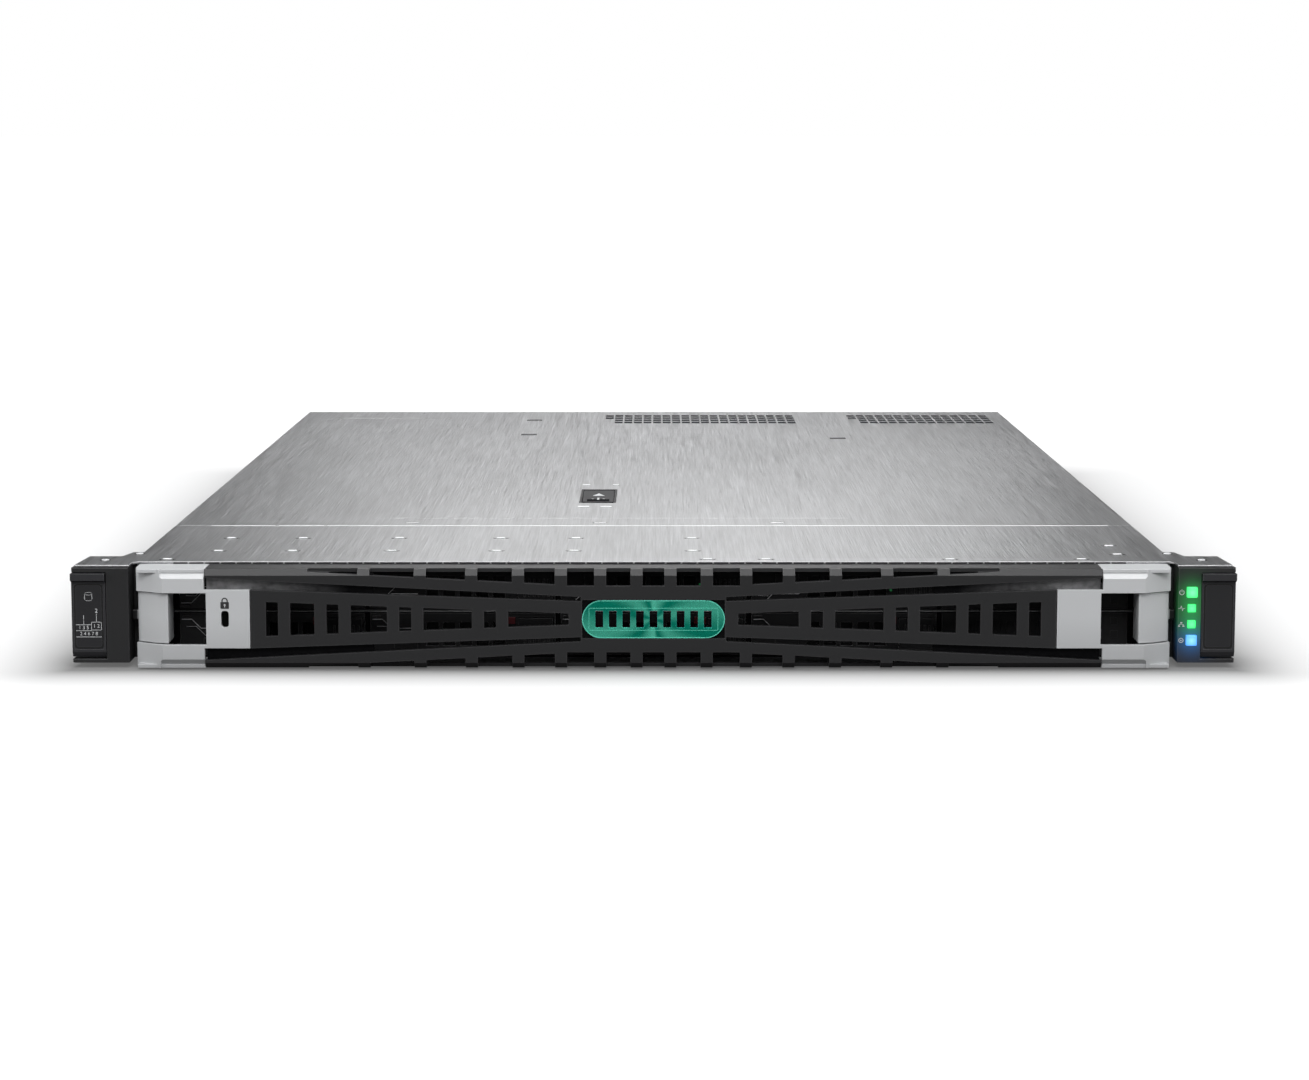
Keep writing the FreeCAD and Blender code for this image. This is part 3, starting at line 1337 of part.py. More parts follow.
def system_board():
    """L-shaped board that leaves room for the power supplies."""
    body = new_body("board_body")
    corner_x = "0 - supply_outer + supply_step + supply_wide + board_side"
    corner_y = "front + supply_front - board_notch"
    outline = [
        ("0 - board_half", "front + board_front"),
        ("board_half", "front + board_front"),
        ("board_half", "front + rear_depth - wall - board_rear"),
        (corner_x, "front + rear_depth - wall - board_rear"),
        (corner_x, corner_y),
        ("0 - board_half", corner_y),
    ]
    pad(body, "sheet", "XY_Plane", [outline], "board_level", "board_top")
    posts = []
    for n, (x, y) in enumerate(
        (
            ("0 - board_half + post_inset", "board_front + post_inset"),
            ("board_half - post_inset", "board_front + post_inset"),
            ("0 - board_half + post_inset", "supply_front - post_rear"),
            ("board_half - post_inset", "rear_depth - post_rear"),
            ("0", "rear_depth - post_rear"),
        )
    ):
        posts.append(
            block(
                f"post_{n}",
                (f"{x} - post_half", f"{x} + post_half"),
                (f"{y} - post_half", f"{y} + post_half"),
                ("wall", "board_level"),
            )
        )
    keep("system_board", group("board_group", [body, *posts]))


def heat_sink():
    """Finned cooler on the processor, a comb pushed along the air flow."""
    body = new_body("sink_body")
    base_low = "(board_top + sink_foot)"
    base_high = f"({base_low} + sink_base)"
    count = int(number("fin_count"))
    step = "((sink_wide - fin_thick) / (fin_count - 1))"
    comb = [("0 - sink_wide / 2", base_low), ("sink_wide / 2", base_low)]
    for fin in reversed(range(count)):
        left = f"(0 - sink_wide / 2 + {fin} * {step})"
        comb += [(f"{left} + fin_thick", "sink_top"), (left, "sink_top")]
        if fin:
            comb += [(left, base_high), (f"{left} - {step} + fin_thick", base_high)]
    pad(body, "comb", "XZ_Plane", [comb], "front + sink_front", "front + sink_front + sink_long")
    keep("heat_sink", body)
    socket = block(
        "processor_block",
        ("0 - chip_half_wide", "chip_half_wide"),
        (
            "sink_front + sink_long / 2 - chip_half_long",
            "sink_front + sink_long / 2 + chip_half_long",
        ),
        ("board_top", "board_top + sink_foot"),
    )
    keep("processor_socket", socket)


def memory():
    """Twelve memory modules in their sockets, six on each side of the processor."""
    sockets, modules = [], []
    middle = "(sink_front + sink_long / 2)"
    count = int(number("module_count"))
    for place in range(2 * count):
        sign = "0 - " if place < count else "0 + "
        x = f"({sign}(module_inner + {place % count} * module_step))"
        tag = f"{place + 1}"
        ends = (
            f"{middle} - module_long / 2 - socket_end",
            f"{middle} + module_long / 2 + socket_end",
        )
        sockets.append(
            block(
                f"socket_{tag}",
                (f"{x} - socket_wide / 2", f"{x} + socket_wide / 2"),
                ends,
                ("board_top", "board_top + socket_tall"),
            )
        )
        foot = "board_top + socket_tall"
        modules.append(
            block(
                f"module_{tag}",
                (f"{x} - module_thick / 2", f"{x} + module_thick / 2"),
                (f"{middle} - module_long / 2", f"{middle} + module_long / 2"),
                (foot, "module_top"),
            )
        )
    keep("memory_sockets", group("socket_group", sockets))
    keep("memory_modules", group("module_group", modules))


def air_baffle():
    """Walls that lead the air from the fans to the processor and the memory."""
    body = new_body("baffle_body")
    reach = "(module_inner + (module_count - 1) * module_step + socket_wide)"
    wide = f"({fan_middle(FANS - 1)} + fan_side / 2)"
    near = "front + fan_back + baffle_front"
    far = "front + sink_front + sink_long + baffle_rear"
    bend = "front + sink_front - baffle_bend"
    right = [
        (wide, near),
        (f"{wide} + baffle_thick", near),
        (f"{reach} + baffle_thick", bend),
        (f"{reach} + baffle_thick", far),
        (reach, far),
        (reach, bend),
    ]
    low, high = "board_top + gap", "base_top - baffle_drop"
    pad(body, "walls", "XY_Plane", [right], low, high)
    other = new_body("baffle_other")
    pad(other, "walls_left", "XY_Plane", [mirrored(right)], low, high)
    keep("air_baffle", group("baffle_group", [body, other]))


# ---- rear ----------------------------------------------------------------------------------


def supply_left(place):
    return f"(0 - supply_outer + {place} * supply_step)"


def power_supply(place):
    """Hot-plug power supply: case with inlet and handle, and its release tab."""
    name = f"power_supply_{place + 1}"
    left = supply_left(place)
    right = f"({left} + supply_wide)"
    floor = "(wall + gap)"
    case = block(
        f"{name}_case", (left, right), ("supply_front", "rear_depth"), (floor, f"{floor} + supply_tall")
    )
    inlet_x = f"({left} + inlet_side)"
    inlet_z = f"({floor} + inlet_level)"
    inlet_rim = block(
        f"{name}_rim",
        (inlet_x, f"{inlet_x} + inlet_wide"),
        ("rear_depth", "rear_depth + inlet_rim"),
        (inlet_z, f"{inlet_z} + inlet_tall"),
    )
    hollow = block(
        f"{name}_hollow",
        (f"{inlet_x} + inlet_wall", f"{inlet_x} + inlet_wide - inlet_wall"),
        ("rear_depth - inlet_deep", "rear_depth + inlet_rim + 1"),
        (f"{inlet_z} + inlet_wall", f"{inlet_z} + inlet_tall - inlet_wall"),
    )
    inlet_middle = f"({inlet_x} + inlet_wide / 2)"
    inlet_centre = f"({inlet_z} + inlet_tall / 2)"
    spots = (
        (f"{inlet_middle} - prong_step", f"{inlet_centre} - prong_drop"),
        (inlet_middle, f"{inlet_centre} + prong_rise"),
        (f"{inlet_middle} + prong_step", f"{inlet_centre} - prong_drop"),
    )
    blades = [
        block(
            f"{name}_blade_{n}",
            (f"{x} - prong_half_thick", f"{x} + prong_half_thick"),
            ("rear_depth - inlet_deep - 1", "rear_depth - inlet_deep + prong_long"),
            (f"{z} - prong_half_tall", f"{z} + prong_half_tall"),
        )
        for n, (x, z) in enumerate(spots)
    ]
    hx0, hx1 = f"({right} - handle_far)", f"({right} - handle_near)"
    handle = block(
        f"{name}_handle",
        (hx0, hx1),
        ("rear_depth", "rear_depth + handle_reach"),
        (f"{floor} + handle_margin", f"{floor} + supply_tall - handle_margin"),
    )
    finger = block(
        f"{name}_finger",
        (f"{hx0} - 1", f"{hx1} + 1"),
        ("rear_depth", "rear_depth + handle_reach - handle_bar"),
        (
            f"{floor} + handle_margin + handle_bar",
            f"{floor} + supply_tall - handle_margin - handle_bar",
        ),
    )
    bail = cut(f"{name}_bail", handle, finger)
    shell = cut(f"{name}_shell", case, hollow)
    solid = fuse(f"{name}_fused", shell, cut(f"{name}_inlet", inlet_rim, hollow))
    keep(name, fuse(name + "_whole", solid, bail, *blades))
    tab = block(
        f"{name}_tab",
        (f"{right} - tab_wide - tab_side", f"{right} - tab_side"),
        ("rear_depth + gap", "rear_depth + tab_reach"),
        (f"{floor} + tab_margin", f"{floor} + supply_tall - tab_margin"),
    )
    keep(f"{name}_latch", tab)


def supply_divider():
    """Sheet between the two power supply bays."""
    plate = block(
        "divider_sheet",
        (f"{supply_left(0)} + supply_wide + gap", f"{supply_left(1)} - gap"),
        ("supply_front", "rear_depth - wall"),
        ("wall", "base_top - wall"),
    )
    keep("supply_divider", plate)


def rear_wall():
    """Rear sheet with the bays, slots and port holes."""
    body = new_body("rear_body")
    outline = rectangle(
        (f"{supply_left(1)} + supply_wide + gap", "half_base - wall"), ("wall", "base_top - wall")
    )
    holes = []
    for left in ("riser_left", "riser_right"):
        holes.append(
            rectangle(
                (
                    f"{left} + blank_side + blank_lap",
                    f"{left} + blank_side + blank_wide - blank_lap",
                ),
                ("riser_floor + slot_sill", "riser_floor + blank_tall"),
            )
        )
    for x, z, wide, tall in ports():
        holes.append(rectangle((x, f"{x} + {wide}"), (z, f"{z} + {tall}")))
    pad(
        body,
        "sheet",
        "XZ_Plane",
        [outline] + holes,
        "front + rear_depth - wall",
        "front + rear_depth",
    )
    keep("rear_wall", body)


def ports():
    """Left, bottom, width and height of each port hole in the rear wall."""
    network = "(riser_left + network_place)"
    return [
        ("(riser_left + video_place)", "port_level", "video_wide", "video_tall"),
        (network, "port_level - network_drop", "network_side", "(network_side - network_flat)"),
        ("(riser_left + usb_place)", "port_level", "usb_wide", "usb_tall"),
        ("(riser_left + usb_place + usb_step)", "port_level", "usb_wide", "usb_tall"),
        ("(riser_right + card_place)", "port_level", "card_wide", "card_tall"),
    ]


def rear_ports():
    """Port shells, each seated in its own hole and standing on the board."""
    video, network, usb_one, usb_two, card = ports()

    def shell(name, hole, kind):
        x, z, wide, tall = hole
        rim = f"(port_slack + {kind}_wall)"
        outer = block(
            f"{name}_outer",
            (f"{x} + port_slack", f"{x} + {wide} - port_slack"),
            (f"rear_depth - {kind}_long", "rear_depth + port_proud"),
            (f"{z} + port_slack", f"{z} + {tall} - port_slack"),
        )
        mouth = block(
            f"{name}_mouth",
            (f"{x} + {rim}", f"{x} + {wide} - {rim}"),
            (f"rear_depth - {kind}_deep", "rear_depth + 1"),
            (f"{z} + {rim}", f"{z} + {tall} - {rim}"),
        )
        return cut(name, outer, mouth)

    keep("video_port", shell("video_shell", video, "video"))
    keep("network_port", shell("network_shell", network, "network"))
    usb = [shell("usb_shell_1", usb_one, "usb"), shell("usb_shell_2", usb_two, "usb")]
    keep("usb_ports", group("usb_group", usb))
    x, z, wide, tall = card
    plate = block(
        "card_plate",
        (f"{x} + card_clear", f"{x} + {wide} - card_clear"),
        ("rear_depth - card_deep", "rear_depth + card_proud"),
        (f"{z} + card_clear", f"{z} + {tall} - card_clear"),
    )
    board = block(
        "card_board",
        (f"{x} + card_rim", f"{x} + {wide} - card_rim"),
        ("rear_depth - card_long", "rear_depth - card_lap"),
        (f"{z} + card_seat", f"{z} + card_seat + board_thick"),
    )
    keep("network_card", fuse("network_card_solid", plate, board))


def risers():
    """Two riser shelves with their boards, and the blanks that close their slots."""
    blanks = []
    for name, left, right in (
        ("primary_riser", "riser_left", "riser_split"),
        ("secondary_riser", "riser_right", "riser_edge"),
    ):
        near, far = "rear_depth - wall - gap - riser_long", "rear_depth - wall - gap"
        shelf = block(f"{name}_shelf", (left, right), (near, far), ("riser_floor", "riser_floor + wall"))
        board = block(
            f"{name}_board",
            (left, f"{left} + board_thick"),
            (near, f"{far} - riser_short"),
            ("board_top + gap", "base_top - riser_drop"),
        )
        flange = block(
            f"{name}_flange",
            (f"{right} - wall", right),
            (near, far),
            ("riser_floor", "base_top - riser_drop"),
        )
        keep(name, fuse(f"{name}_solid", shelf, board, flange))
        blanks.append(
            block(
                f"{name}_blank",
                (f"{left} + blank_side", f"{left} + blank_side + blank_wide"),
                ("rear_depth - wall - gap - 1", "rear_depth - wall - gap"),
                (
                    "riser_floor + wall + blank_foot",
                    "riser_floor + wall + blank_tall - blank_head",
                ),
            )
        )
    keep("slot_blanks", group("blank_plates", blanks))


# ---- build ---------------------------------------------------------------------------------


def build():
    chassis_base()
    rail_studs()
    front_top_panel()
    hood()
    hood_latch()
    bezel_frame()
    bezel_grille()
    bezel_strips()
    for side in ("left", "right"):
        bezel_end(side)
        bezel_latch(side)
        ear(side)
        ear_lever(side)
    ear_screws()
    front_buttons()
    drive_cage()
    for place in range(DRIVES):
        drive(place)
    drive_blanks()
    drive_backplane()
    fan_housings()
    fan_tray()
    for place in range(FANS):
        fan_rotor(place)
    system_board()
    heat_sink()
    memory()
    air_baffle()
    supply_divider()
    rear_wall()
    rear_ports()
    risers()
    for place in range(2):
        power_supply(place)


def write():
    """Checks every object, then writes one STEP file for each sub-part."""
    doc.recompute()
    for thing in doc.Objects:
        if {"Invalid", "Error"} & set(thing.State):
            raise RuntimeError(f"{thing.Name} failed: {thing.State}")
    os.makedirs("parts", exist_ok=True)
    for node, thing in PARTS:
        shape = thing.Shape
        if shape.isNull() or not shape.isValid() or not shape.Solids:
            raise RuntimeError(f"{node} has no valid shape")
        shape.exportStep(f"parts/{node}.step")


build()
write()
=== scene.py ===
import functools
import json
import math
import random

import bmesh
import bpy
from mathutils import Matrix, Vector


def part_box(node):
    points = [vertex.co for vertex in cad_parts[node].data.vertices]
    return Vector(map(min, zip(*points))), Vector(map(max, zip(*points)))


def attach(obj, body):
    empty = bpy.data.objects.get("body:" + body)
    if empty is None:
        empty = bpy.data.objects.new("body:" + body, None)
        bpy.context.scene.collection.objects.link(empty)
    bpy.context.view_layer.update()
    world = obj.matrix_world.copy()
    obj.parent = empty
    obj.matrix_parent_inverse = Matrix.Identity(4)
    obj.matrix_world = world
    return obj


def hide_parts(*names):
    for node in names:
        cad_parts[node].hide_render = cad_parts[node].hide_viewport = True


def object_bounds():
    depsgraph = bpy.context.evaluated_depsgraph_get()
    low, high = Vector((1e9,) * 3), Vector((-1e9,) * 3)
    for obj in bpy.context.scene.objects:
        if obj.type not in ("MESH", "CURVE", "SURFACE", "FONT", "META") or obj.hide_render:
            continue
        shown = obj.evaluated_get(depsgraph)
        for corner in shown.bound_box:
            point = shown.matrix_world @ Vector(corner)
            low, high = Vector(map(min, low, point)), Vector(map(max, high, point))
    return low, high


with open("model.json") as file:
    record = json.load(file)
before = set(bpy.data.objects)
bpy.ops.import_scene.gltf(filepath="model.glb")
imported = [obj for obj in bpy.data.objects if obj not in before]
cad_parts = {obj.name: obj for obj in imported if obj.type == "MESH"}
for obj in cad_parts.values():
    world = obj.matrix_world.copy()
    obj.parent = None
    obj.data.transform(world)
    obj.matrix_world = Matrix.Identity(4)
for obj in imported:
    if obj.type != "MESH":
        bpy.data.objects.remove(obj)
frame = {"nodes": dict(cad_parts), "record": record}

bl_info = {
    "name": "Rack Server Finish",
    "version": (1, 0, 0),
    "blender": (4, 5, 0),
    "location": "View3D > Sidebar > Rack Server",
    "description": "Dresses the packed rack server with its finishes, small pieces and stage",
    "category": "Object",
}

MM = 0.001
CAD_BOX = [[float(v) for v in corner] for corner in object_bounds()]
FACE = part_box("bezel_frame")[0].y
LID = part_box("hood")[1].z
NODE_SLOTS = {part["node"]: part["material_slot"] for part in frame["record"]["subparts"]}
NODE_BODIES = {
    node: body
    for body, nodes in frame["record"]["behaviour"]["bodies"].items()
    for node in nodes
}
SIDES = (-1, 1)


# ---- settings ----


def colour(name, about, default):
    return bpy.props.FloatVectorProperty(
        name=name, description=about, subtype="COLOR", size=3, min=0, max=1, default=default
    )


def length(name, about, default):
    return bpy.props.FloatProperty(name=name, description=about, unit="LENGTH", default=default)


class ServerSizes(bpy.types.PropertyGroup):
    """Sizes of the small forms that the finish adds."""

    edge_round: length("Edge Round", "Rounding of sheet and moulded edges", 0.25 * MM)
    soft_round: length("Soft Round", "Rounding of the end pieces and levers", 0.45 * MM)
    dimple_long: length("Dimple Length", "Length of a pressed dimple in the cover", 6.0 * MM)
    dimple_high: length("Dimple Height", "Height of a pressed dimple", 0.45 * MM)
    # the seam edge is a painted highlight: a bright strip where the hood's front edge catches the
    # light
    seam_wide: length("Seam Width", "Width of the bright edge along the hood seam", 0.55 * MM)
    finger_step: length("Finger Step", "Between the shield fingers under the cover", 6.64 * MM)
    finger_gap: length("Finger Gap", "Space between two shield fingers", 0.75 * MM)
    camera_lens: bpy.props.FloatProperty(
        name="Lens", description="Focal length of the camera in millimetres", default=88.09
    )


class ServerColours(bpy.types.PropertyGroup):
    """Colours of the finishes."""

    cover: colour("Cover", "Brushed steel of the hood and panel", (0.45, 0.453, 0.46))
    sheet: colour("Sheet", "Plated steel of the base and cage", (0.50, 0.51, 0.50))
    bezel: colour("Bezel", "Dark moulded plastic", (0.0205, 0.0205, 0.0215))
    ends: colour("Ends", "Light moulded plastic of the bezel's ends", (0.56, 0.57, 0.58))
    grille: colour("Grille", "Middle insert", (0.0, 0.36, 0.235))
    ready: colour("Ready Light", "Colour of the power and status lights", (0.02, 0.9, 0.16))
    locate: colour("Locator Light", "Colour of the locator light", (0.05, 0.32, 1.0))
    print_ink: colour("Print", "Ink of symbols and numbers", (0.62, 0.63, 0.64))
    floor: colour("Floor", "Floor under the server", (0.66, 0.66, 0.66))


def sizes():
    return bpy.context.scene.server_sizes


def colours():
    return bpy.context.scene.server_colours


# ---- shader groups ----

SURFACE = ("Lines", "Clouds")
MASK = ("Mask",)
EVEN = (1.0, 1.0, 1.0)


def feed(tree, kind, inputs, output=0, **settings):
    """A shader node with its settings and its inputs, sockets or plain values; gives an output."""
    node = tree.nodes.new(f"ShaderNode{kind}")
    for name, value in settings.items():
        setattr(node, name, value)
    for key, value in inputs.items():
        if isinstance(value, bpy.types.NodeSocket):
            tree.links.new(value, node.inputs[key])
        elif value is not None:
            node.inputs[key].default_value = value
    return node.outputs[output]


def maths(tree, operation, first, second=None, clamp=False):
    """A Math node fed by sockets or plain numbers."""
    return feed(tree, "Math", {0: first, 1: second}, operation=operation, use_clamp=clamp)


def vectors(tree, operation, first, second=None):
    """A Vector Math node, which gives a number where its operation does."""
    number = operation in ("DOT_PRODUCT", "DISTANCE", "LENGTH")
    inputs = {0: first, 1: second}
    return feed(tree, "VectorMath", inputs, "Value" if number else "Vector", operation=operation)


def coordinates(tree):
    return feed(tree, "TexCoord", {}, "Object")


def stretched(tree, stretch):
    """Object coordinates squeezed along each axis."""
    return feed(tree, "Mapping", {"Vector": coordinates(tree), "Scale": stretch})


def noise(tree, stretch, scale=1.0, detail=3.0, rough=0.6):
    inputs = {
        "Vector": stretched(tree, stretch), "Scale": scale, "Detail": detail, "Roughness": rough
    }
    return feed(tree, "TexNoise", inputs, "Fac")


def new_group(name, outputs, **inputs):
    """An empty shader group with named sockets, its inputs' sockets and its end node."""
    tree = bpy.data.node_groups.new(name, "ShaderNodeTree")
    for label, value in inputs.items():
        kind = "NodeSocketVector" if isinstance(value, tuple) else "NodeSocketFloat"
        tree.interface.new_socket(label, in_out="INPUT", socket_type=kind).default_value = value
    for label in outputs:
        tree.interface.new_socket(label, in_out="OUTPUT", socket_type="NodeSocketFloat")
    return tree, tree.nodes.new("NodeGroupInput").outputs, tree.nodes.new("NodeGroupOutput")


def shared(make):
    """Lets a shader group be made once, and found by its maker's name after that."""

    @functools.wraps(make)
    def get():
        name = make.__name__
        return bpy.data.node_groups.get(name) or make(name)

    return get


def give(tree, end, *values):
    """Links values to the end of a group, which is then ready."""
    for socket, value in zip(end.inputs, values):
        tree.links.new(value, socket)
    return tree


@shared
def brushed_lines(name):
    """Long hair-thin scratches along the depth, with broad cloudy bands between them."""
    tree, _, end = new_group(name, SURFACE)
    fine = maths(tree, "MULTIPLY", noise(tree, (1500.0, 26.0, 1500.0)), 1.3)
    broad = maths(tree, "MULTIPLY", noise(tree, (420.0, 9.0, 420.0), 1.0, 5.0, 0.75), 1.1)
    lines = maths(tree, "SUBTRACT", maths(tree, "ADD", fine, broad), 0.7, clamp=True)
    return give(tree, end, lines, noise(tree, (9.0, 3.0, 9.0)))


@shared
def fine_grain(name):
    """Fine moulded or plated grain, and a slow cloud over the surface."""
    tree, start, end = new_group(name, SURFACE, Size=2500.0)
    return give(tree, end, noise(tree, EVEN, start["Size"], 3.0, 0.5), noise(tree, EVEN, 26.0, 4.0))


@shared
def zinc_spangle(name):
    """Crystal patches of zinc plate."""
    tree, _, end = new_group(name, SURFACE)
    inputs = {"Vector": stretched(tree, EVEN), "Scale": 190.0}
    cells = feed(tree, "TexVoronoi", inputs, "Color")
    tone = feed(tree, "SeparateColor", {"Color": cells}, "Red")
    return give(tree, end, noise(tree, EVEN, 1800.0, 2.0), tone)


@shared
def board_tracks(name):
    """Circuit tracks: fine square lanes in two directions."""
    tree, _, end = new_group(name, SURFACE)
    inputs = {
        "Vector": stretched(tree, (420.0, 420.0, 420.0)), "Scale": 1.0, "Mortar Size": 0.06,
        "Brick Width": 6.0, "Row Height": 0.5,
    }
    return give(tree, end, feed(tree, "TexBrick", inputs, "Fac"), noise(tree, (60.0, 60.0, 60.0)))


@shared
def edge_wear(name):
    """A mask along edges, broken up by noise, for edges made lighter partly as rubbed edges and
    partly as painted highlight.
    """
    tree, start, end = new_group(name, MASK, Radius=0.0006)
    soft = feed(tree, "Bevel", {"Radius": start["Radius"]}, samples=4)
    dot = vectors(tree, "DOT_PRODUCT", soft, feed(tree, "NewGeometry", {}, "Normal"))
    edge = maths(tree, "SUBTRACT", 1.0, dot, clamp=True)
    edge = maths(tree, "MULTIPLY", edge, 6.0, clamp=True)
    broken = noise(tree, EVEN, 300.0, 4.0)
    return give(tree, end, maths(tree, "MULTIPLY", edge, broken, clamp=True))


def falling(tree, share):
    """A value that falls from 1 towards 0 as a share grows."""
    return maths(tree, "EXPONENT", maths(tree, "MULTIPLY", share, -1.0))


@shared
def light_halo(name):
    """A soft glow that falls off round a point of the surface."""
    tree, start, end = new_group(name, MASK, Centre=(0.0, 0.0, 0.0), Reach=0.006)
    far = vectors(tree, "DISTANCE", coordinates(tree), start["Centre"])
    share = maths(tree, "DIVIDE", far, start["Reach"])
    return give(tree, end, falling(tree, maths(tree, "POWER", share, 1.5)))


@shared
def axis_fade(name):
    """A mask that runs from 0 to 1 between two distances along an axis, both ways alike."""
    tree, start, end = new_group(name, MASK, Axis=(1.0, 0.0, 0.0), Near=0.1, Far=0.2)
    both = vectors(tree, "ABSOLUTE", coordinates(tree))
    along = vectors(tree, "DOT_PRODUCT", both, start["Axis"])
    inputs = {"Value": along, "From Min": start["Near"], "From Max": start["Far"]}
    return give(tree, end, feed(tree, "MapRange", inputs))


@shared
def turned_sheen(name):
    """Painted highlight: bright rays that a turned metal face shows in the light, spreading from a
    middle point.
    """
    tree, start, end = new_group(name, MASK, Centre=(0.0, 0.0, 0.0))
    away = vectors(tree, "SUBTRACT", coordinates(tree), start["Centre"])
    split = feed(tree, "SeparateXYZ", {"Vector": away}).node.outputs
    turn = maths(tree, "ARCTAN2", split["Z"], split["X"])
    broad = maths(tree, "SINE", maths(tree, "MULTIPLY", turn, 6.0))
    ray = maths(tree, "POWER", maths(tree, "ABSOLUTE", maths(tree, "SINE", turn)), 90.0)
    tone = maths(tree, "MULTIPLY", maths(tree, "ADD", broad, 0.9), 0.35)
    return give(tree, end, maths(tree, "ADD", tone, ray, clamp=True))


@shared
def contact_shade(name):
    """Soft shade round the foot of a box that stands at the middle."""
    tree, start, end = new_group(name, MASK, Half=(0.2, 0.3, 1.0), Reach=0.01)
    out = vectors(tree, "SUBTRACT", vectors(tree, "ABSOLUTE", coordinates(tree)), start["Half"])
    far = vectors(tree, "LENGTH", vectors(tree, "MAXIMUM", out, (0.0, 0.0, 0.0)))
    return give(tree, end, falling(tree, maths(tree, "DIVIDE", far, start["Reach"])))


# ---- materials ----

# the dark colour that fades blend to; most fades use it as painted shade
FADED = (0.012, 0.012, 0.013)
FIRST_COLOUR, SECOND_COLOUR, MIXED_COLOUR = 6, 7, 2


def placed(tree, make, **values):
    """The outputs of a shader group, given its values."""
    node = tree.nodes.new("ShaderNodeGroup")
    node.node_tree = make()
    for label, value in values.items():
        node.inputs[label].default_value = value
    return node.outputs


def blend_colours(tree, factor, *pair):
    """A mix of two colours, each a plain colour or a socket."""
    pair = [tint if isinstance(tint, bpy.types.NodeSocket) else (*tint, 1.0) for tint in pair]
    inputs = {"Factor": factor, FIRST_COLOUR: pair[0], SECOND_COLOUR: pair[1]}
    return feed(tree, "Mix", inputs, MIXED_COLOUR, data_type="RGBA")


def scaled(tint, by, plus=0.0):
    """A colour made lighter or darker, kept between black and white."""
    return [min(1.0, max(0.0, c * by + plus)) for c in tint]


def blank_material(name):
    """A new material, its tree and its surface shader."""
    made = bpy.data.materials.new(name)
    made.use_nodes = True
    tree = made.node_tree
    return made, tree, next(node for node in tree.nodes if node.type == "BSDF_PRINCIPLED")


def finish(
    name, tint, rough, contrast, relief, wear, surface=fine_grain, size=None, glow=(),
    emission=0.0, fades=(), sheen=None, **shader
):
    """A material: its surface group shades the colour, roughness and relief, and its edges are made
    lighter, partly as rubbed edges and partly as painted highlight.

    Fades darken it towards one end of an axis, most of them as painted shade; sheen paints bright
    highlight rays round a point, and glow paints as emission the light that nearby lamps throw on
    it.
    """
    made, tree, gloss = blank_material(name)
    for label, value in shader.items():
        gloss.inputs[label.replace("_", " ")].default_value = value
    grain = placed(tree, surface, **({"Size": size} if size else {}))
    lines = maths(tree, "MULTIPLY", grain["Lines"], 0.6)
    tone = maths(tree, "ADD", lines, maths(tree, "MULTIPLY", grain["Clouds"], 0.4), clamp=True)
    shade = blend_colours(tree, tone, scaled(tint, 1 - contrast), scaled(tint, 1 + contrast))
    # lighter edges: partly rubbed edges, partly painted highlight where edges catch the light
    if wear:
        lightened_edge = scaled(tint, 1.0 + wear, 0.05 * wear)
        shade = blend_colours(tree, placed(tree, edge_wear)["Mask"], shade, lightened_edge)
    # painted highlight: bright rays round a point, lighter than the tint
    if sheen:
        rays = placed(tree, turned_sheen, Centre=sheen)["Mask"]
        shade = blend_colours(tree, rays, shade, scaled(tint, 2.2, 0.16))
    # fades: darker towards one end of an axis, mostly painted shade
    for axis, near, far in fades:
        reach = placed(tree, axis_fade, Axis=axis, Near=near, Far=far)["Mask"]
        shade = blend_colours(tree, reach, FADED, shade)
    tree.links.new(shade, gloss.inputs["Base Color"])
    span = {"Value": grain["Lines"], "To Min": rough[0], "To Max": rough[1]}
    tree.links.new(feed(tree, "MapRange", span), gloss.inputs["Roughness"])
    if relief:
        bump = {"Strength": relief, "Distance": 0.4 * MM, "Height": grain["Lines"]}
        tree.links.new(feed(tree, "Bump", bump), gloss.inputs["Normal"])
    if glow or emission:
        add_halos(tree, gloss, glow, [c * emission for c in tint])
    return made


def add_halos(tree, gloss, glow, base):
    """Sums soft glows of several colours into the emission, over an even one."""
    total = tree.nodes.new("ShaderNodeRGB").outputs["Color"]
    total.default_value = (*base, 1.0)
    for centre, reach, tint, strength in glow:
        halo = placed(tree, light_halo, Centre=centre, Reach=reach)["Mask"]
        part = blend_colours(tree, halo, (0, 0, 0), [c * strength for c in tint])
        total = vectors(tree, "ADD", total, part)
    tree.links.new(total, gloss.inputs["Emission Color"])
    gloss.inputs["Emission Strength"].default_value = 1.0


def look(name):
    """The material of a record slot or of a piece with a finish of its own."""
    made = bpy.data.materials.get(f"finish_{name}")
    return made or finish(f"finish_{name}", **recipes()[name])


def skin(tint, low, high, contrast=0.12, relief=0.03, wear=0.2, **more):
    """One recipe: colour, roughness from and to, contrast, relief, and how far edges are made
    lighter, partly as rubbing and partly as painted highlight.
    """
    return dict(more, tint=tint, rough=(low, high), contrast=contrast, relief=relief, wear=wear)


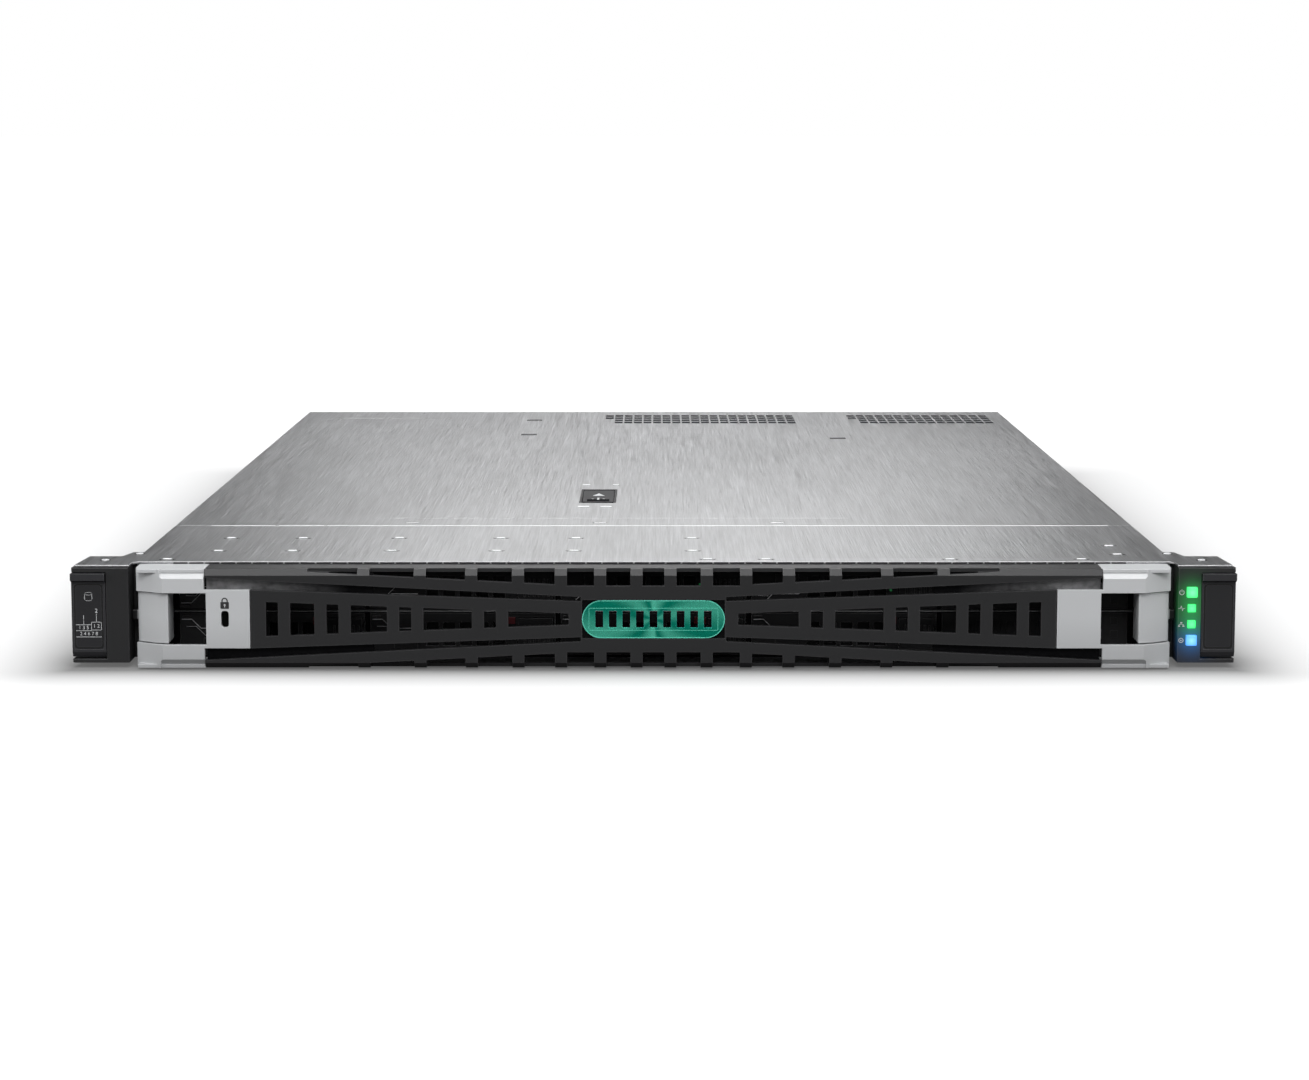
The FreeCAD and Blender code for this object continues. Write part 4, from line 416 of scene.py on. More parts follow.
def recipes():
    """What each material is made of."""
    hue, lights = colours(), light_places()
    metal, faint = {"Metallic": 1.0}, {"Specular_IOR_Level": 0.3}
    brushed, spangle = {"surface": brushed_lines, **metal}, {"surface": zinc_spangle, **metal}
    across, deep, up = (1.0, 0.0, 0.0), (0.0, 1.0, 0.0), (0.0, 0.0, 1.0)
    cage = -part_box("drive_cage")[0].y
    # painted glow: the lights' green and blue glow painted as emission on the right ear round each
    # lamp
    ear_glow = [(tuple(spot), 4.4 * MM, hue.ready, 0.24) for spot in lights[:3]]
    ear_glow.append((tuple(lights[3]), 4.8 * MM, hue.locate, 0.30))
    found = {
        "brushed_grey_steel": skin(hue.cover, 0.30, 0.46, 0.60, 0.22, 0.5, **brushed),
        "plated_steel": skin(hue.sheet, 0.32, 0.44, 0.10, 0.02, 0.3, **spangle),
        "dark_plastic": skin(hue.bezel, 0.40, 0.52, 0.10, 0.05, 0.9, Specular_IOR_Level=0.34),
        "lit_ear": skin(hue.bezel, 0.36, 0.50, 0.10, 0.05, 1.2, glow=ear_glow),
        # darker past |x| 0.2152, on the latches' outer ends, and painted shade towards the bottom
        "light_plastic": skin(
            hue.ends, 0.28, 0.36, 0.04, 0.02, 0.25,
            fades=[(across, 0.2152, 0.2146), (up, -0.06, 0.022)],
        ),
        # painted highlight rays round the middle, painted shade on parts more than about 1.2 mm
        # behind the face, and strongly lightened edges as painted highlight
        "green_grille": skin(
            hue.grille, 0.22, 0.34, 0.25, wear=3.0, surface=brushed_lines, Metallic=0.75,
            sheen=tuple(node_middle("bezel_grille")),
            fades=[(deep, -FACE - 1.6 * MM, -FACE - 1.2 * MM)],
        ),
        # painted highlight: bright green strokes along the grille's edges
        "grille_rim": skin(scaled(hue.grille, 1.8, 0.15), 0.2, 0.3, wear=0.5, Metallic=0.3),
        "lever_plastic": skin((0.026, 0.026, 0.029), 0.34, 0.46, 0.10, 0.05, 1.2),
        "latch_lever": skin(
            (0.022, 0.022, 0.024), 0.5, 0.6, relief=0.05, wear=1.0, Specular_IOR_Level=0.2
        ),
        # painted shade: dark below z 0.021 and towards the middle, where the strips lie in shadow
        # behind the frame
        "strip_metal": skin(
            (0.25, 0.25, 0.255), 0.3, 0.6, 0.8, 0.6, size=420.0,
            fades=[(across, 0.126, 0.168), (up, 0.0205, 0.0215)], **metal,
        ),
        "supply_metal": skin((0.56, 0.565, 0.57), 0.34, 0.46, 0.06, **spangle),
        "release_tab": skin((0.30, 0.03, 0.04), 0.32, 0.42, 0.1, wear=0.5),
        "carrier_button": skin((0.09, 0.009, 0.012), 0.3, 0.4, wear=0.3),
        "carrier_edge": skin((0.40, 0.40, 0.41), 0.3, 0.4, wear=0.4),
        "circuit_board": skin(
            (0.010, 0.075, 0.036), 0.24, 0.34, 0.45, 0.05, surface=board_tracks, Coat_Weight=0.3
        ),
        "connector_black": skin((0.014, 0.014, 0.015), 0.45, 0.56, wear=0.8, **faint),
        "fan_black": skin((0.020, 0.020, 0.022), 0.34, 0.46, wear=0.8),
        "hub": skin((0.06, 0.061, 0.065), 0.25, 0.35, 0.1, wear=0.6),
        "sink_metal": skin((0.70, 0.71, 0.72), 0.26, 0.36, 0.08, **brushed),
        # edges lightened strongly as painted highlight
        "drive_metal": skin((0.016, 0.016, 0.017), 0.3, 0.42, wear=2.5, **faint),
        "blank_plastic": skin((0.018, 0.018, 0.019), 0.4, 0.52, wear=0.9, **faint),
        "screw_steel": skin((0.62, 0.62, 0.61), 0.24, 0.34, 0.08, **metal),
        "baffle_plastic": skin((0.022, 0.022, 0.025), 0.34, 0.46, wear=0.8),
        "port_metal": skin((0.66, 0.66, 0.65), 0.22, 0.32, 0.06, **metal),
        # painted shade on the walls of the hood's holes
        "hole_wall_shade": skin((0.10, 0.10, 0.105), 0.5, 0.6, wear=0, Metallic=0.4),
        # painted highlight: the bright tops of pressed dimples and embosses
        "dimple": skin((0.80, 0.81, 0.82), 0.28, 0.36, 0.04, wear=0, Metallic=0.2),
        # painted highlight along the hood seam
        "seam": skin((0.86, 0.87, 0.88), 0.3, 0.4, 0.03, wear=0, Metallic=0.3),
        "print": skin(hue.print_ink, 0.5, 0.6, 0.05, 0, 0),
        "mark": skin((0.03, 0.03, 0.032), 0.4, 0.5, relief=0, wear=0),
        "outline": skin((0.004, 0.004, 0.004), 0.5, 0.6, relief=0, wear=0),
        "label": skin((0.022, 0.022, 0.024), 0.26, 0.34, relief=0.02, wear=0.6),
        "ceramic": skin((0.28, 0.21, 0.14), 0.3, 0.4, 0.25, wear=0.3),
        "gold": skin((0.80, 0.56, 0.20), 0.25, 0.35, **metal),
        "latch_white": skin((0.62, 0.62, 0.60), 0.35, 0.45),
        "video_blue": skin((0.02, 0.06, 0.32), 0.35, 0.45, wear=0.3),
        "tongue_blue": skin((0.01, 0.13, 0.42), 0.35, 0.45, wear=0.3),
        "lamp": skin((0.05, 0.35, 0.12), 0.15, 0.25, 0.05, wear=0, emission=0.10),
    }
    # painted shade: the cage's front 6 mm dark, fading out 20 mm behind its front
    found["cage"] = {**found["plated_steel"], "fades": [(deep, cage - 6 * MM, cage - 20 * MM)]}
    for lamp, tint, core, spots, reach in (
        ("power_light", hue.ready, (0.45, 1.0, 0.62), lights[:1], 2.2 * MM),
        ("status_light", hue.ready, (0.40, 1.0, 0.58), lights[1:3], 1.6 * MM),
        ("locator_light", hue.locate, (0.55, 0.88, 1.0), lights[3:], 2.2 * MM),
    ):
        glow = [(tuple(spot), reach, core, 0.55) for spot in spots]
        found[lamp] = skin(tint, 0.2, 0.3, 0.05, wear=0, emission=0.62, glow=glow)
    return found


# ---- mesh tools: forms take a point in metres, and millimetres from it ----

WELD, MERGE = 2e-6, 1e-7
FLAT, SHARP, CREASE = math.radians(1.5), math.radians(25), math.radians(50)
TURNS = {
    "x": Matrix.Rotation(math.radians(90), 4, "Y"),
    "y": Matrix.Rotation(math.radians(-90), 4, "X"),
    "z": Matrix.Identity(4),
}


def on(level, x, depth):
    """A point at a level: across, and behind the bezel's face, in millimetres."""
    return Vector((x * MM, FACE + depth * MM, level))


def meshes(count):
    return [bmesh.new() for _ in range(count)]


def cube(mesh, spot, low, high):
    """A plain box, with its size and its edges."""
    low, high = (spot + Vector(corner) * MM for corner in (low, high))
    size = high - low
    where = Matrix.Translation((low + high) / 2) @ Matrix.Diagonal((*size, 1.0))
    made = bmesh.ops.create_cube(mesh, size=1.0, matrix=where)
    return size, list({edge for vert in made["verts"] for edge in vert.link_edges})


def slab(mesh, spot, low, high, round_by=0.0, steps=1):
    """A box between two corners, its edges rounded."""
    size, edges = cube(mesh, spot, low, high)
    if round_by:
        soften(mesh, edges, min(round_by * MM, 0.45 * min(size)), steps)


def plate(mesh, spot, low, high, corner):
    """A thin box on a front face, its four corners rounded."""
    size, edges = cube(mesh, spot, low, high)
    along = [edge for edge in edges if abs((edge.verts[0].co - edge.verts[1].co).y) > 0.9 * size.y]
    soften(mesh, along, corner * MM, 5)


def soften(mesh, edges, width, steps):
    bmesh.ops.bevel(
        mesh, geom=edges, offset=width, offset_type="OFFSET", segments=steps, profile=0.5,
        affect="EDGES", material=-1, clamp_overlap=True,
    )


def disc(mesh, spot, off, radius, thick, axis="z", sides=20, top=None):
    """A short rod or cone round a point, along an axis."""
    where = Matrix.Translation(spot + Vector(off) * MM) @ TURNS[axis]
    bmesh.ops.create_cone(
        mesh, cap_ends=True, segments=sides, radius1=radius * MM,
        radius2=(top or radius) * MM, depth=thick * MM, matrix=where,
    )


def front(spot, x, z):
    """A point on the front plane through another one."""
    return spot + Vector((x, 0, z)) * MM


def bar(mesh, spot, start, end, wide, thick):
    """A flat stroke on a front face, from one point to another."""
    start, end = front(spot, *start), front(spot, *end)
    run = end - start
    turn = Matrix.Rotation(-math.atan2(run.z, run.x), 4, "Y")
    size = Matrix.Diagonal((run.length + wide * MM, thick * MM, wide * MM, 1.0))
    where = Matrix.Translation((start + end) / 2) @ turn @ size
    bmesh.ops.create_cube(mesh, size=1.0, matrix=where)


def strokes(mesh, spot, points, wide, thick, closed=False):
    """Flat strokes from point to point."""
    points = [*points, points[0]] if closed else points
    for start, end in zip(points, points[1:]):
        bar(mesh, spot, start, end, wide, thick)


def arc(mesh, spot, off, radius, wide, thick, start, sweep, steps):
    """A flat band bent round an axis along Y."""
    centre = front(spot, *off)
    lead = Matrix.Rotation(-start, 4, "Y") @ Matrix.Translation((radius * MM, 0, 0))
    size = Matrix.Diagonal((wide * MM, thick * MM, 1.0, 1.0))
    face = bmesh.ops.create_grid(
        mesh, x_segments=1, y_segments=1, size=0.5, matrix=Matrix.Translation(centre) @ lead @ size
    )
    geom = list(face["verts"])
    for links in ("link_edges", "link_faces"):
        geom += [part for vert in face["verts"] for part in getattr(vert, links)]
    bmesh.ops.spin(
        mesh, geom=list(dict.fromkeys(geom)), cent=centre, axis=(0, -1, 0), angle=sweep,
        steps=steps, use_merge=abs(sweep - math.tau) < 0.001,
    )


def cross(mesh, spot, turns, reach, wide, thick):
    """Strokes through one point, each turned by an angle in degrees."""
    for turn in turns:
        x, z = (reach * part(math.radians(turn)) for part in (math.cos, math.sin))
        bar(mesh, spot, (x, z), (-x, -z), wide, thick)


def piece(name, slot, mesh, finish_name=None, body="chassis", replaces=(), flat=False):
    """Turns a bmesh into a finished object that rides on a body."""
    bmesh.ops.remove_doubles(mesh, verts=mesh.verts, dist=MERGE)
    bmesh.ops.recalc_face_normals(mesh, faces=mesh.faces)
    data = bpy.data.meshes.new(name)
    mesh.to_mesh(data)
    mesh.free()
    made = bpy.data.objects.new(name, data)
    bpy.context.scene.collection.objects.link(made)
    data.materials.append(look(finish_name or slot))
    if not flat:
        shade(made)
    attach(made, body)
    if replaces:
        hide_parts(*replaces)
    return made


def shade(made):
    """Smooth shading with sharp corners kept and flat faces kept flat."""
    data = made.data
    data.polygons.foreach_set("use_smooth", [True] * len(data.polygons))
    data.set_sharp_from_angle(angle=CREASE)
    flatter = made.modifiers.new("flatter", "WEIGHTED_NORMAL")
    flatter.keep_sharp = True
    flatter.weight = 80


def node_middle(node):
    """Middle of a node's front face."""
    low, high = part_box(node)
    return Vector(((low.x + high.x) / 2, low.y, (low.z + high.z) / 2))


def node_mesh(node):
    """A merged copy of a CAD node's mesh."""
    mesh = bmesh.new()
    mesh.from_mesh(frame["nodes"][node].data)
    bmesh.ops.remove_doubles(mesh, verts=mesh.verts, dist=WELD)
    return mesh


def solids(node):
    """Low and high corners of each separate solid of a node, from left to right."""
    mesh = node_mesh(node)
    left, found = set(mesh.verts), []
    while left:
        edge_of, island = [left.pop()], []
        while edge_of:
            vert = edge_of.pop()
            island.append(vert.co.copy())
            near = {edge.other_vert(vert) for edge in vert.link_edges} & left
            left -= near
            edge_of += near
        found.append([Vector([pick(axis) for axis in zip(*island)]) for pick in (min, max)])
    mesh.free()
    return sorted(found, key=lambda box: tuple(box[0]))


def dressed(round_by, steps, *nodes, finish_name=None):
    """Copies of CAD nodes with rounded edges, each of which stands for its node."""
    for node in nodes:
        mesh = node_mesh(node)
        bmesh.ops.dissolve_limit(
            mesh, angle_limit=FLAT, verts=mesh.verts, edges=mesh.edges
        )
        edges = [
            edge
            for edge in mesh.edges
            if len(edge.link_faces) == 2 and edge.calc_face_angle(0.0) > SHARP
        ]
        soften(mesh, edges, round_by * MM, steps)
        made = piece(
            f"{node}_skin", NODE_SLOTS[node], mesh, finish_name, NODE_BODIES[node], (node,)
        )
    return made


def digits(target, text, height, spot, turn=90):
    """Adds numbers that lie flat on a face, turned from the ground by an angle in degrees."""
    curve = bpy.data.curves.new("digits_curve", "FONT")
    curve.body = text
    curve.size = height * 1.38 * MM
    curve.align_x = "CENTER"
    curve.align_y = "CENTER"
    curve.extrude = 0.04 * MM
    source = bpy.data.objects.new("digits_source", curve)
    bpy.context.scene.collection.objects.link(source)
    ready = bpy.context.evaluated_depsgraph_get()
    data = bpy.data.meshes.new_from_object(source.evaluated_get(ready))
    bpy.data.objects.remove(source)
    bpy.data.curves.remove(curve)
    data.transform(Matrix.Translation(spot) @ Matrix.Rotation(math.radians(turn), 4, "X"))
    target.from_mesh(data)
    bpy.data.meshes.remove(data)


class Step:
    """What the operators share: each builds its pieces and says that it is done."""

    def execute(self, context):
        self.build()
        return {"FINISHED"}


# ---- finishes of the CAD nodes ----


class SERVER_OT_node_finishes(Step, bpy.types.Operator):
    """Finishes on every CAD node"""

    bl_idname = "server.node_finishes"
    bl_label = "Node Finishes"

    def build(self):
        for node, made in frame["nodes"].items():
            made.data.materials.clear()
            made.data.materials.append(look("cage" if node == "drive_cage" else NODE_SLOTS[node]))


# ---- covers ----

# places across and behind the bezel's face, in millimetres; windows lie before the rear edge
DIMPLES = [
    *[(x, depth) for depth in (93.2, 51.2) for x in (-186.0, -154.4, -112.0, -67.2, -34.1, 16.8)],
    *[(x, 24.7) for x in (-204.0, 22.7, 47.2, 124.4, 179.5)],
    (197.0, 67.4),
    (196.7, 39.7),
]
ROUND_DIMPLES = [(side * x, depth) for side in SIDES for x, depth in ((229.5, 22.2), (218.3, 41.9))]
SEAM_RUNS = [(-200.8, -171.8), (-170.2, -149.7), (-148.2, 206.3)]
LANCES = (-110.2, -24.5, 56.5)
WINDOWS = [(-73.2, 151), (-73.2, 60), (106.6, 173)]
CREASES = [(-130.0, 90.0, 164.8), (-204.0, -123.5, 667.0)]


class SERVER_OT_covers(Step, bpy.types.Operator):
    """Hood and front panel with their rounded folds"""

    bl_idname = "server.covers"
    bl_label = "Covers"

    def build(self):
        round_by = sizes().edge_round / MM
        cover = dressed(round_by, 2, "hood")
        dressed(round_by, 2, "front_top_panel")
        # painted shade: upright walls inside the hood's holes get a dark finish
        cover.data.materials.append(look("hole_wall_shade"))
        low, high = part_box("hood")
        edge, upright = 3 * MM, 0.6
        for face in cover.data.polygons:
            middle = face.center
            inside = abs(middle.x) < high.x - edge and low.y + edge < middle.y < high.y - edge
            if inside and abs(face.normal.z) < upright and middle.z > LID - 2 * MM:
                face.material_index = 1


class SERVER_OT_cover_details(Step, bpy.types.Operator):
    """Pressed dimples, lances, seam edge and creases of the covers"""

    bl_idname = "server.cover_details"
    bl_label = "Cover Details"

    def build(self):
        keep = sizes()
        raised, shadow_slits, seam, lances, openings, tongues_and_shade_sheets, creases = meshes(7)
        half, high = keep.dimple_long / MM / 2, keep.dimple_high / MM
        for x, depth in DIMPLES:
            spot = on(LID, x, depth)
            # bright raised top, painted highlight; a dark strip in front of it, painted shadow, and
            # dark tips at its ends
            slab(raised, spot, (-half * 0.62, -0.8, -0.1), (half * 0.62, 0.8, high), high * 0.8, 2)
            for end in (-half, half):
                slab(shadow_slits, spot, (end - 0.55, -0.5, -0.1), (end + 0.55, 0.5, 0.05))
            slab(shadow_slits, spot, (-half, -1.3, -0.1), (half, -0.8, 0.05))
        for x, depth in ROUND_DIMPLES:
            spot = on(LID, x, depth)
            disc(raised, spot, (0, 0, 0.15), 1.9, 0.5, sides=24, top=1.2)
            # dark ring round each round dimple: painted shadow
            disc(shadow_slits, spot, (0, 0, 0), 2.3, 0.08, sides=24)
        piece("cover_dimples", "brushed_grey_steel", raised, "dimple")
        piece("cover_dimple_shadow_slits", "connector_black", shadow_slits)

        spot = Vector((0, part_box("front_top_panel")[1].y, LID))
        # painted highlight: a bright strip along the hood's front edge
        for left, right in SEAM_RUNS:
            slab(seam, spot, (left, -keep.seam_wide / MM, -0.1), (right, 0, 0.12), 0.08)
        piece("seam_highlight_edge", "brushed_grey_steel", seam, "seam")

        for x in LANCES:
            spot = on(LID, x, 148.0)
            slab(lances, spot, (-3, -0.8, -0.1), (3, 0.8, 0.4), 0.35, 2)
            slab(openings, spot, (-3.4, -1.3, -0.1), (3.4, -0.8, 0.03))
        # painted shade: dark sheets just under the hood's windows
        for x, short in WINDOWS:
            spot = Vector((x * MM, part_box("hood")[1].y - short * MM, LID))
            slab(tongues_and_shade_sheets, spot, (-4.55, 0.05, -0.5), (4.55, 8.95, -0.12))
        for left, right, depth in CREASES:
            slab(creases, on(0, 0, depth), (left, 0, 42.7), (right, 0.4, 42.86), 0.06)
        piece("hood_window_shade_sheets", "connector_black", tongues_and_shade_sheets, body="hood")
        piece("hood_lances", "brushed_grey_steel", lances, body="hood")
        piece("hood_lance_slits", "connector_black", openings, body="hood")
        piece("hood_creases", "brushed_grey_steel", creases, body="hood")


class SERVER_OT_shield_fingers(Step, bpy.types.Operator):
    """Row of spring fingers in the gap under the cover's front edge"""

    bl_idname = "server.shield_fingers"
    bl_label = "Shield Fingers"

    def build(self):
        step, gap = sizes().finger_step, sizes().finger_gap
        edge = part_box("bezel_right_end")[1].x - 14 * MM
        mesh = bmesh.new()
        for place in range(int(2 * edge / step)):
            spot = Vector((-edge + place * step, FACE, LID))
            slab(mesh, spot, (0, 17.72, -0.92), ((step - gap) / MM, 17.95, -0.28))
        piece("shield_fingers", "connector_black", mesh)


class SERVER_OT_hood_latch(Step, bpy.types.Operator):
    """Latch cup and lever with its arrow"""

    bl_idname = "server.hood_latch"
    bl_label = "Hood Latch"

    def build(self):
        dressed(0.2, 2, "hood_latch_cup")
        dressed(0.35, 2, "hood_latch_lever")
        low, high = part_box("hood_latch_cup")
        middle = (low.x + high.x) / 2
        mark, emboss, shadow_slits = meshes(3)
        spot = Vector((middle, low.y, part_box("hood_latch_lever")[1].z))
        arrow = Matrix.Translation(spot + Vector((0, 36 * MM, 0))) @ Matrix.Diagonal((1, 2, 1, 1))
        size = {"radius1": 3.4 * MM, "radius2": 3.4 * MM, "depth": 0.12 * MM}
        bmesh.ops.create_cone(mark, cap_ends=True, segments=3, matrix=arrow, **size)
        slab(mark, spot, (-0.5, 17, -0.06), (0.5, 24, 0.06))
        for side in SIDES:
            disc(mark, spot, (side * 2.7, 20, 0), 0.6, 0.12, sides=12)
        piece("latch_arrow", "latch_lever", mark, "print", "hood_latch_lever")

        near, far = low.y - 16 * MM, high.y + 18 * MM
        # embosses with bright tops, painted highlight, and a dark strip in front of each, painted
        # shadow
        for x, y, half in ((-6.9, far, 1.9), (8.0, far, 1.6), (-6.4, near, 2.7), (4.3, near, 2.7)):
            spot = Vector((middle + x * MM, y, LID))
            slab(emboss, spot, (-half, -1.5, -0.1), (half, 1.5, 0.35), 0.3, 2)
            slab(shadow_slits, spot, (-half, -2.4, -0.1), (half, -1.5, 0.04))
        piece("latch_emboss_shadow_slits", "connector_black", shadow_slits, body="hood")
        piece("latch_embosses", "brushed_grey_steel", emboss, "dimple", "hood")


# ---- bezel ----


class SERVER_OT_bezel_frame(Step, bpy.types.Operator):
    """Dark frame and the metal strips behind it"""

    bl_idname = "server.bezel_frame"
    bl_label = "Bezel Frame"

    def build(self):
        dressed(0.3, 2, "bezel_frame")
        dressed(0.12, 1, "bezel_strips")


class SERVER_OT_bezel_grille(Step, bpy.types.Operator):
    """Green middle grille with a bright rim: strokes that paint its edge highlight"""

    bl_idname = "server.bezel_grille"
    bl_label = "Bezel Grille"

    def build(self):
        dressed(0.35, 3, "bezel_grille")
        low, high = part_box("bezel_grille")
        middle = node_middle("bezel_grille")
        wide, thick, bend = 0.36, 0.14, 7.7
        reach = (high.x - low.x) / MM / 2 - 1.0 - bend
        # painted highlight: bright strokes along the grille's outline and round its slots
        rim = bmesh.new()
        for side in SIDES:
            bar(rim, middle, (-reach, side * bend), (reach, side * bend), wide, thick)
            arc(rim, middle, (side * reach, 0), bend, wide, thick, -side * math.pi / 2, math.pi, 24)
        corners = [(-26.6, -4.6), (26.6, -4.6), (26.6, 4.6), (-26.6, 4.6)]
        strokes(rim, middle, corners, 0.2, thick, True)
        piece("grille_rim", "green_grille", rim, "grille_rim", "bezel")


class SERVER_OT_bezel_ends(Step, bpy.types.Operator):
    """Light end pieces, their latches and the padlock symbol"""

    bl_idname = "server.bezel_ends"
    bl_label = "Bezel Ends"

    def build(self):
        ends = [f"bezel_{side}_{part}" for side in ("left", "right") for part in ("end", "latch")]
        dressed(sizes().soft_round / MM, 2, *ends)
        spot = Vector((-176.9 * MM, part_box("bezel_left_end")[0].y - 0.02 * MM, 27.7 * MM))
        thick, wide = 0.08, 0.5
        mark, hole = meshes(2)
        plate(mark, spot, (-1.75, -thick, -2.1), (1.75, thick, 0.7), 0.3)
        arc(mark, spot, (0, 1.2), 1.05, wide, thick, 0.0, math.pi, 12)
        for x in (-1.05, 1.05):
            bar(mark, spot, (x, 0.6), (x, 1.2), wide, thick)
        piece("padlock_mark", "light_plastic", mark, "mark", "bezel")
        disc(hole, spot, (0, -0.06, -0.55), 0.42, 0.12, "y", 14)
        bar(hole, spot + Vector((0, -0.07 * MM, 0)), (0, -1.3), (0, -0.6), 0.34, 0.1)
        piece("padlock_keyhole", "light_plastic", hole, body="bezel")


# ---- ears ----

# lines of the bay map from one end to the other, and its numbers: text, place and height
BAY_LINES = [
    (-1.5, 28.5, -1.5, 30.9), (1.5, 28.5, 1.5, 30.9), (-5.2, 17.9, 1.1, 17.9),
    (-5.2, 15.4, 1.1, 15.4), (-5.2, 12.8, 5.2, 12.8), (1.1, 15.7, 1.1, 19.0),
    (5.2, 15.7, 5.2, 19.0), (1.1, 15.7, 5.2, 15.7), (1.1, 19.0, 5.2, 19.0),
    (-2.1, 17.9, -2.1, 19.6), (3.2, 19.0, 3.2, 22.4),
]
BAY_NUMBERS = [
    ("1 3 5", -2.1, 16.65, 1.5), ("1 2", 3.15, 17.35, 1.5), ("2 4 6 7 8", 0.0, 14.1, 1.5),
    ("1", -2.1, 20.9, 1.8), ("2", 3.2, 23.7, 1.8),
]


def light_places():
    """Middles of the four lights, top to bottom."""
    top, foot = node_middle("power_button"), node_middle("locator_button")
    return [top.lerp(foot, share / 3) for share in range(4)]


class SERVER_OT_ears(Step, bpy.types.Operator):
    """Moulded ears, with the lights' glow on the right one"""

    bl_idname = "server.ears"
    bl_label = "Ears"

    def build(self):
        dressed(0.3, 2, "left_ear")
        # the right ear's finish paints the lights' glow as emission round each lamp
        dressed(0.3, 2, "right_ear", finish_name="lit_ear")


class SERVER_OT_ear_levers(Step, bpy.types.Operator):
    """Ear levers with their label fields, and on the left the bay map"""

    bl_idname = "server.ear_levers"
    bl_label = "Ear Levers"

    def build(self):
        inset, half, foot, top = 0.5, 5.9, 8.0, 34.9
        for side in ("left", "right"):
            lever = f"{side}_ear_lever"
            dressed(0.35, 2, lever)
            low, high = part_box(lever)
            middle = high.x - 7.05 * MM if side == "right" else low.x + 7.05 * MM
            spot = Vector((middle, low.y + 2.5 * MM, 0))
            rim, field = meshes(2)
            plate(rim, spot, (-half, -0.05, foot), (half, 0.4, top), 1.4)
            corners = (inset - half, -0.12, foot + inset), (half - inset, 0.3, top - inset)
            plate(field, spot, *corners, 1.2)
            piece(f"{side}_label_outline", "lever_plastic", rim, "outline", lever)
            piece(f"{side}_label_field", "lever_plastic", field, "label", lever)
            if side == "left":
                self.bay_map(spot - Vector((0, 0.14 * MM, 0)))

    def bay_map(self, spot):
        """A drive symbol over the numbers of the bays in two boxes."""
        wide, thick, turns = 0.2, 0.05, 8
        mesh = bmesh.new()
        for start, level in ((math.pi, 28.5), (math.pi, 30.9), (0.0, 30.9)):
            angles = [start + math.pi * turn / turns for turn in range(turns + 1)]
            half_round = [(1.5 * math.cos(a), level + 0.55 * math.sin(a)) for a in angles]
            strokes(mesh, spot, half_round, wide, thick)
        for x0, z0, x1, z1 in BAY_LINES:
            bar(mesh, spot, (x0, z0), (x1, z1), wide, thick)
        for text, x, z, tall in BAY_NUMBERS:
            digits(mesh, text, tall, front(spot, x, z))
        piece("bay_map", "lever_plastic", mesh, "print", "left_ear_lever", flat=True)


class SERVER_OT_lights(Step, bpy.types.Operator):
    """Lit buttons, status lights and their symbols"""

    bl_idname = "server.lights"
    bl_label = "Lights"

    def build(self):
        dressed(0.45, 3, "power_button", "locator_button", "status_lights")
        wide, thick = 0.26, 0.06
        mesh = bmesh.new()
        x, y = 218.9 * MM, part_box("right_ear")[0].y - 0.01 * MM
        power, health, network, locator = (Vector((x, y, spot.z)) for spot in light_places())
        arc(mesh, power, (0, 0), 0.95, wide, thick, math.radians(125), math.radians(290), 16)
        bar(mesh, power, (0, 0.3), (0, 1.1), wide, thick)
        pulse = [(-1.3, 0), (-0.5, 0), (-0.1, 1.1), (0.4, -1.0), (0.7, 0), (1.3, 0)]
        strokes(mesh, health, pulse, wide * 0.8, thick)
        for a, b in ((0, 0.7), (-0.9, -0.7), (0.9, -0.7)):
            bar(mesh, network, (a - 0.15, b), (a + 0.15, b), 0.5, thick)
            bar(mesh, network, (a, b), (a, 0), wide * 0.7, thick)
        bar(mesh, network, (-0.9, 0), (0.9, 0), wide * 0.7, thick)
        arc(mesh, locator, (0, 0), 0.9, wide, thick, 0.0, math.tau, 18)
        disc(mesh, locator, (0, 0, 0), 0.28, thick, "y", 10)
        piece("light_symbols", "dark_plastic", mesh, "print", flat=True)


# ---- drives ----


